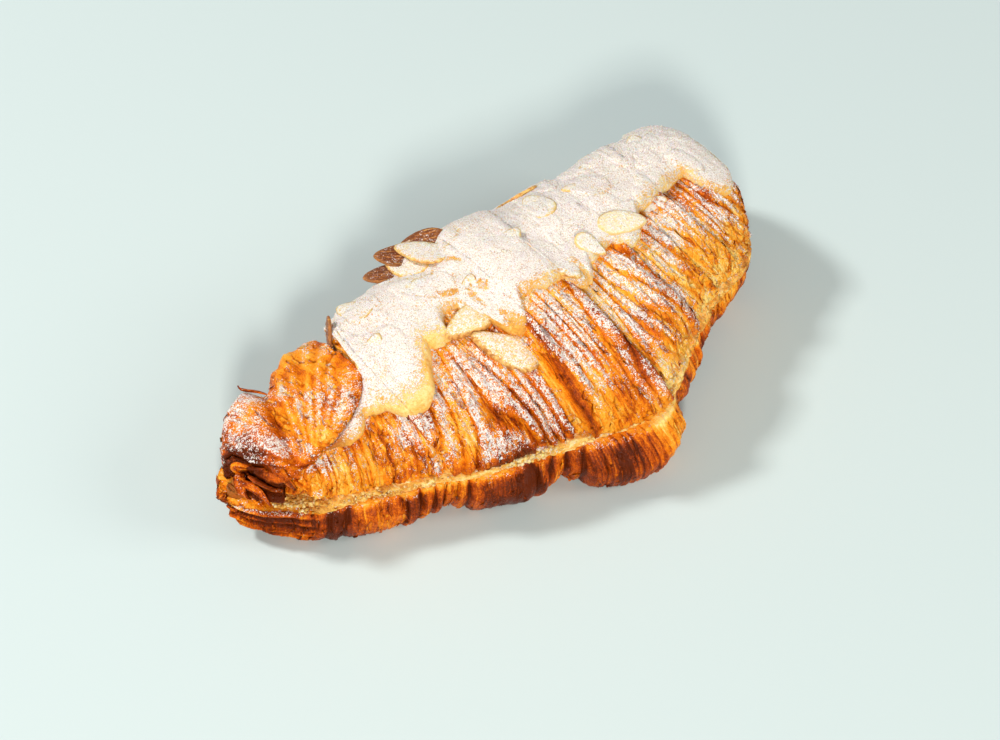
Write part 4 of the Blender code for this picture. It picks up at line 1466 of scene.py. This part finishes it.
def make_strips():
    lays, turns, grid, out = upper[:4]
    made = []
    for number, (places, width, thick, lift) in enumerate(CURLS):
        lay, turn = np.array(places).T
        i = np.interp(lay, lays[:, 0], np.arange(len(lays)))
        j = turn * (turns.shape[1] - 1)
        up = read_grid(out, i, j)
        made.append(strip(read_grid(grid, i, j) + lift * up, up, width, thick, number))
    made.append(strip(SHARD, [SHARD_UP] * len(SHARD), *SHARD_SIZE, 9))
    mesh_object("rolled_strips", *joined([tube(*one) for one in made]), crust_material, "upper_half")


make_strips()

# %% [markdown]
# ## Sliced almonds
#
# An almond slice is a flat teardrop about a millimetre thick, ivory inside, with a thread of brown
# skin round its rim. In the oven some toasted brown and curled. Each is a small closed mesh with its
# own bend and colour, most of them lie near where the solid has one, and all are joined into one
# piece.

# %% Almond material
ALMOND_COLOURS = (
    (0.0, (0.95, 0.82, 0.52)),
    (0.35, (0.90, 0.60, 0.19)),
    (0.7, (0.46, 0.16, 0.036)),
    (1.0, (0.17, 0.045, 0.014)),
)
ALMOND_SKIN, SKIN_SHARE = (0.62, 0.30, 0.07, 1), 0.30
VEINS_ACROSS, VEINS_ALONG = 2100.0, 170.0


def make_almond_material():
    material, tree, shader = new_material("Sliced almond", weight=0.25, scale=0.003)
    toast = stored(tree, "bake")
    grain = noise_at(tree, own_place(tree), Scale=900.0, Detail=3.0, Roughness=0.6)
    lengths = stretched(tree, (stored(tree, "across"), VEINS_ACROSS),
                        (stored(tree, "lengthwise"), VEINS_ALONG))
    veins = noise_at(tree, lengths, Scale=1.0, Detail=2.0, Roughness=0.5)
    veined = swing(tree, veins, 0.52, times(tree, toast, 2.2))
    level = plus(tree, plus(tree, toast, veined), swing(tree, grain, 0.5, 0.8))
    skin = times(tree, stored(tree, "skin"), SKIN_SHARE)
    colour = mixed(tree, skin, colour_ramp(tree, level, ALMOND_COLOURS), ALMOND_SKIN)
    height = plus(tree, grain, times(tree, veined, -1.5))
    sugared(tree, shader, colour, rough=0.5, height=height, bump=0.45, softness=0.12)
    return material


almond_material = make_almond_material()


# %% One slice
# From the middle of the top, round the rim, to the middle of the base: share of the way out, height
# as a share of the thickness, how much of the skin shows, and how much of the sugar lies there
SLICE_RINGS = (
    (0.0, 0.5, 0, 1),
    (0.45, 0.5, 0, 1),
    (0.85, 0.47, 0.15, 0.9),
    (0.97, 0.34, 0.8, 0.5),
    (1.0, 0.0, 1, 0.1),
    (0.97, -0.34, 0.8, 0),
    (0.85, -0.47, 0.15, 0),
    (0.45, -0.5, 0, 0),
    (0.0, -0.5, 0, 0),
)


def slice_axes(up, ahead, over, heading, lift, roll):
    """Its long axis, its width and its face, as unit vectors."""
    h, p, r = math.radians(heading), math.radians(lift), math.radians(roll)
    level = ahead * math.cos(h) + over * math.sin(h)
    long_axis = level * math.cos(p) + up * math.sin(p)
    face = np.cross(long_axis, np.cross(up, level))
    wide = np.cross(face, long_axis)
    return long_axis, wide * math.cos(r) + face * math.sin(r), face * math.cos(r) - wide * math.sin(r)


def slice_mesh(middle, axes, heading, size, bend, thick, narrow, around=36):
    """Points of one slice as rings, and where each lies on the slice itself, lengthwise and across."""
    long_axis, wide, face = axes
    angle = np.linspace(0, 2 * math.pi, around + 1)[:-1]
    wobble = 1 + 0.03 * np.sin(3 * angle + heading)
    x = np.cos(angle) * SLICE_LENGTH / 2 * size * wobble
    y = np.sin(angle) * SLICE_WIDTH / 2 * size * narrow * (1 - SLICE_BLUNT * np.cos(angle)) * wobble
    rings, own = [], []
    for share, height, _, _ in SLICE_RINGS:
        u, v = x * share, y * share
        above = height * SLICE_THICK * thick * (1.0 + 0.25 * (1 - share ** 2))
        above = above + 0.00025 * fractal(u / 0.003, v / 0.003, 177) * (height > 0.3)
        above = above + bend * (6.0 * (u * u + 1.6 * v * v) + 0.0003 * np.sin(u / 0.003))
        rings.append(middle + u[:, None] * long_axis + v[:, None] * wide + above[:, None] * face)
        own.append((u, v))
    return np.stack(rings), np.array(own)


# %% Lay the slices on the cream
def place_on(surface, place, turn):
    """Point, outward, along and over at a place on a grid."""
    lays, turns, points = surface[:3]
    i = int(np.clip(np.searchsorted(lays[:, 0], place), 10, len(lays) - 11))

    def at(row, share):
        return np.array([np.interp(share, turns[row], points[row, :, axis]) for axis in range(3)])

    ahead = unit(at(i + 10, turn) - at(i - 10, turn))
    up = unit(np.cross(ahead, at(i, turn + 0.03) - at(i, turn - 0.03)))
    return at(i, turn), up, ahead, np.cross(up, ahead)


def to_tips(stack):
    """A stack of rings as one list, where the first and the last ring have shrunk to a point."""
    return np.concatenate([stack[1:-1].reshape(-1, *stack.shape[2:]), stack[[0, -1], 0]])


def make_slices():
    _, _, rim, dusted = np.array(SLICE_RINGS).T[..., None]
    slices = []
    for number, (place, turn, heading, lift, size, brown, bend, roll, sunk) in enumerate(SLICES):
        front, back, _ = topping_reach(np.array([[place]]))
        on_cream = front[0, 0] + 0.01 < turn < back[0, 0]
        middle, up, ahead, over = place_on(topping if on_cream else upper, place, turn)
        rise = max(size * SLICE_LENGTH / 2 * math.sin(math.radians(lift)) - SLICE_SUNK, 0)
        middle = middle + up * (rise - SLICE_SET - SLICE_STEP * sunk)
        axes = slice_axes(up, ahead, over, heading, lift, roll)
        rings, own = slice_mesh(middle, axes, heading, size, bend, *COATED.get(number, (1.0, 1.0)))
        cover = 0.38 if brown > 0.6 else 0.66 if number in COATED else 0.80
        flat = np.zeros(rings.shape[:2])
        values = {"bake": np.clip(brown + 0.25 * rim, 0, 1) + flat, "skin": rim + flat,
                  "sugar": dusted * cover + flat, "lengthwise": own[:, 0], "across": own[:, 1]}
        values = {key: to_tips(value) for key, value in values.items()}
        slices.append((to_tips(rings), ring_faces(len(rings) - 2, rings.shape[1]), values))
    mesh_object("almond_slices", *joined(slices), almond_material, "almond_topping")


make_slices()

# %% [markdown]
# ## Loose sugar
#
# From close by, icing sugar is not a white paint but clumps and specks that stand on the crust and
# catch the light. A shader alone looks printed on, so some sixteen thousand tiny crystals are added as
# real mesh, most where the sugar lies thickest.


# %% Sugar crystals
CRYSTAL_COLOURS, CRYSTAL_ROUGHNESS = ((0.80, 0.70, 0.63, 1), (1.0, 0.96, 0.92, 1)), 0.6


def make_crystal_material():
    material, tree, shader = new_material("Sugar crystals", weight=0.3, scale=0.001)
    glint = noise_at(tree, own_place(tree), Scale=2500.0, Detail=1.0)
    feed_all(tree, shader.inputs, {"Base Color": mixed(tree, glint, *CRYSTAL_COLOURS),
                                   "Roughness": CRYSTAL_ROUGHNESS})
    return material


def crystals_on(surface, count, draw):
    """Points and faces of crystals with six corners, most of them where the sugar lies thickest."""
    _, _, grid, out, amount = surface[:5]
    step = np.linalg.norm(np.gradient(grid, axis=0), axis=-1)
    weight = (np.clip(amount, 0, 1) ** 3 * step)[1:-1, 1:-1]
    picked = draw.choice(weight.size, count, p=weight.ravel() / weight.sum())
    i, j = [index + 1 for index in np.unravel_index(picked, weight.shape)]
    slide = draw.uniform(-0.5, 0.5, (2, count, 1))
    at = grid[i, j] + slide[0] * (grid[i + 1, j] - grid[i, j]) * 2
    at = at + slide[1] * (grid[i, j + 1] - grid[i, j]) * 2 + out[i, j] * 0.00004
    size = draw.uniform(0.00007, 0.00022, count)
    corners = np.array([(1, 0, 0), (0, 1, 0), (-1, 0, 0), (0, -1, 0), (0, 0, 1), (0, 0, -1)], float)
    shape = corners[None] * draw.uniform(0.7, 1.3, (count, 1, 3)) * size[:, None, None]
    twist = draw.uniform(0, math.pi, (count, 1))
    c, s = np.cos(twist), np.sin(twist)
    x, y, z = np.moveaxis(shape, -1, 0)
    sides = [(0, 1, 4), (1, 2, 4), (2, 3, 4), (3, 0, 4), (1, 0, 5), (2, 1, 5), (3, 2, 5), (0, 3, 5)]
    return bodies_at(at, np.stack([x * c - y * s, x * s + y * c, z], -1), sides)


def make_loose_sugar(count_crust=11500, count_cream=5000):
    draw = np.random.default_rng(11)
    bodies = [(*crystals_on(surface, count, draw), {})
              for surface, count in ((upper, count_crust), (topping, count_cream))]
    points, faces, _ = joined(bodies)
    made = mesh_object("loose_sugar", points, faces, {}, make_crystal_material(), "almond_topping")
    made.data.polygons.foreach_set("use_smooth", np.zeros(len(faces), bool))


make_loose_sugar()
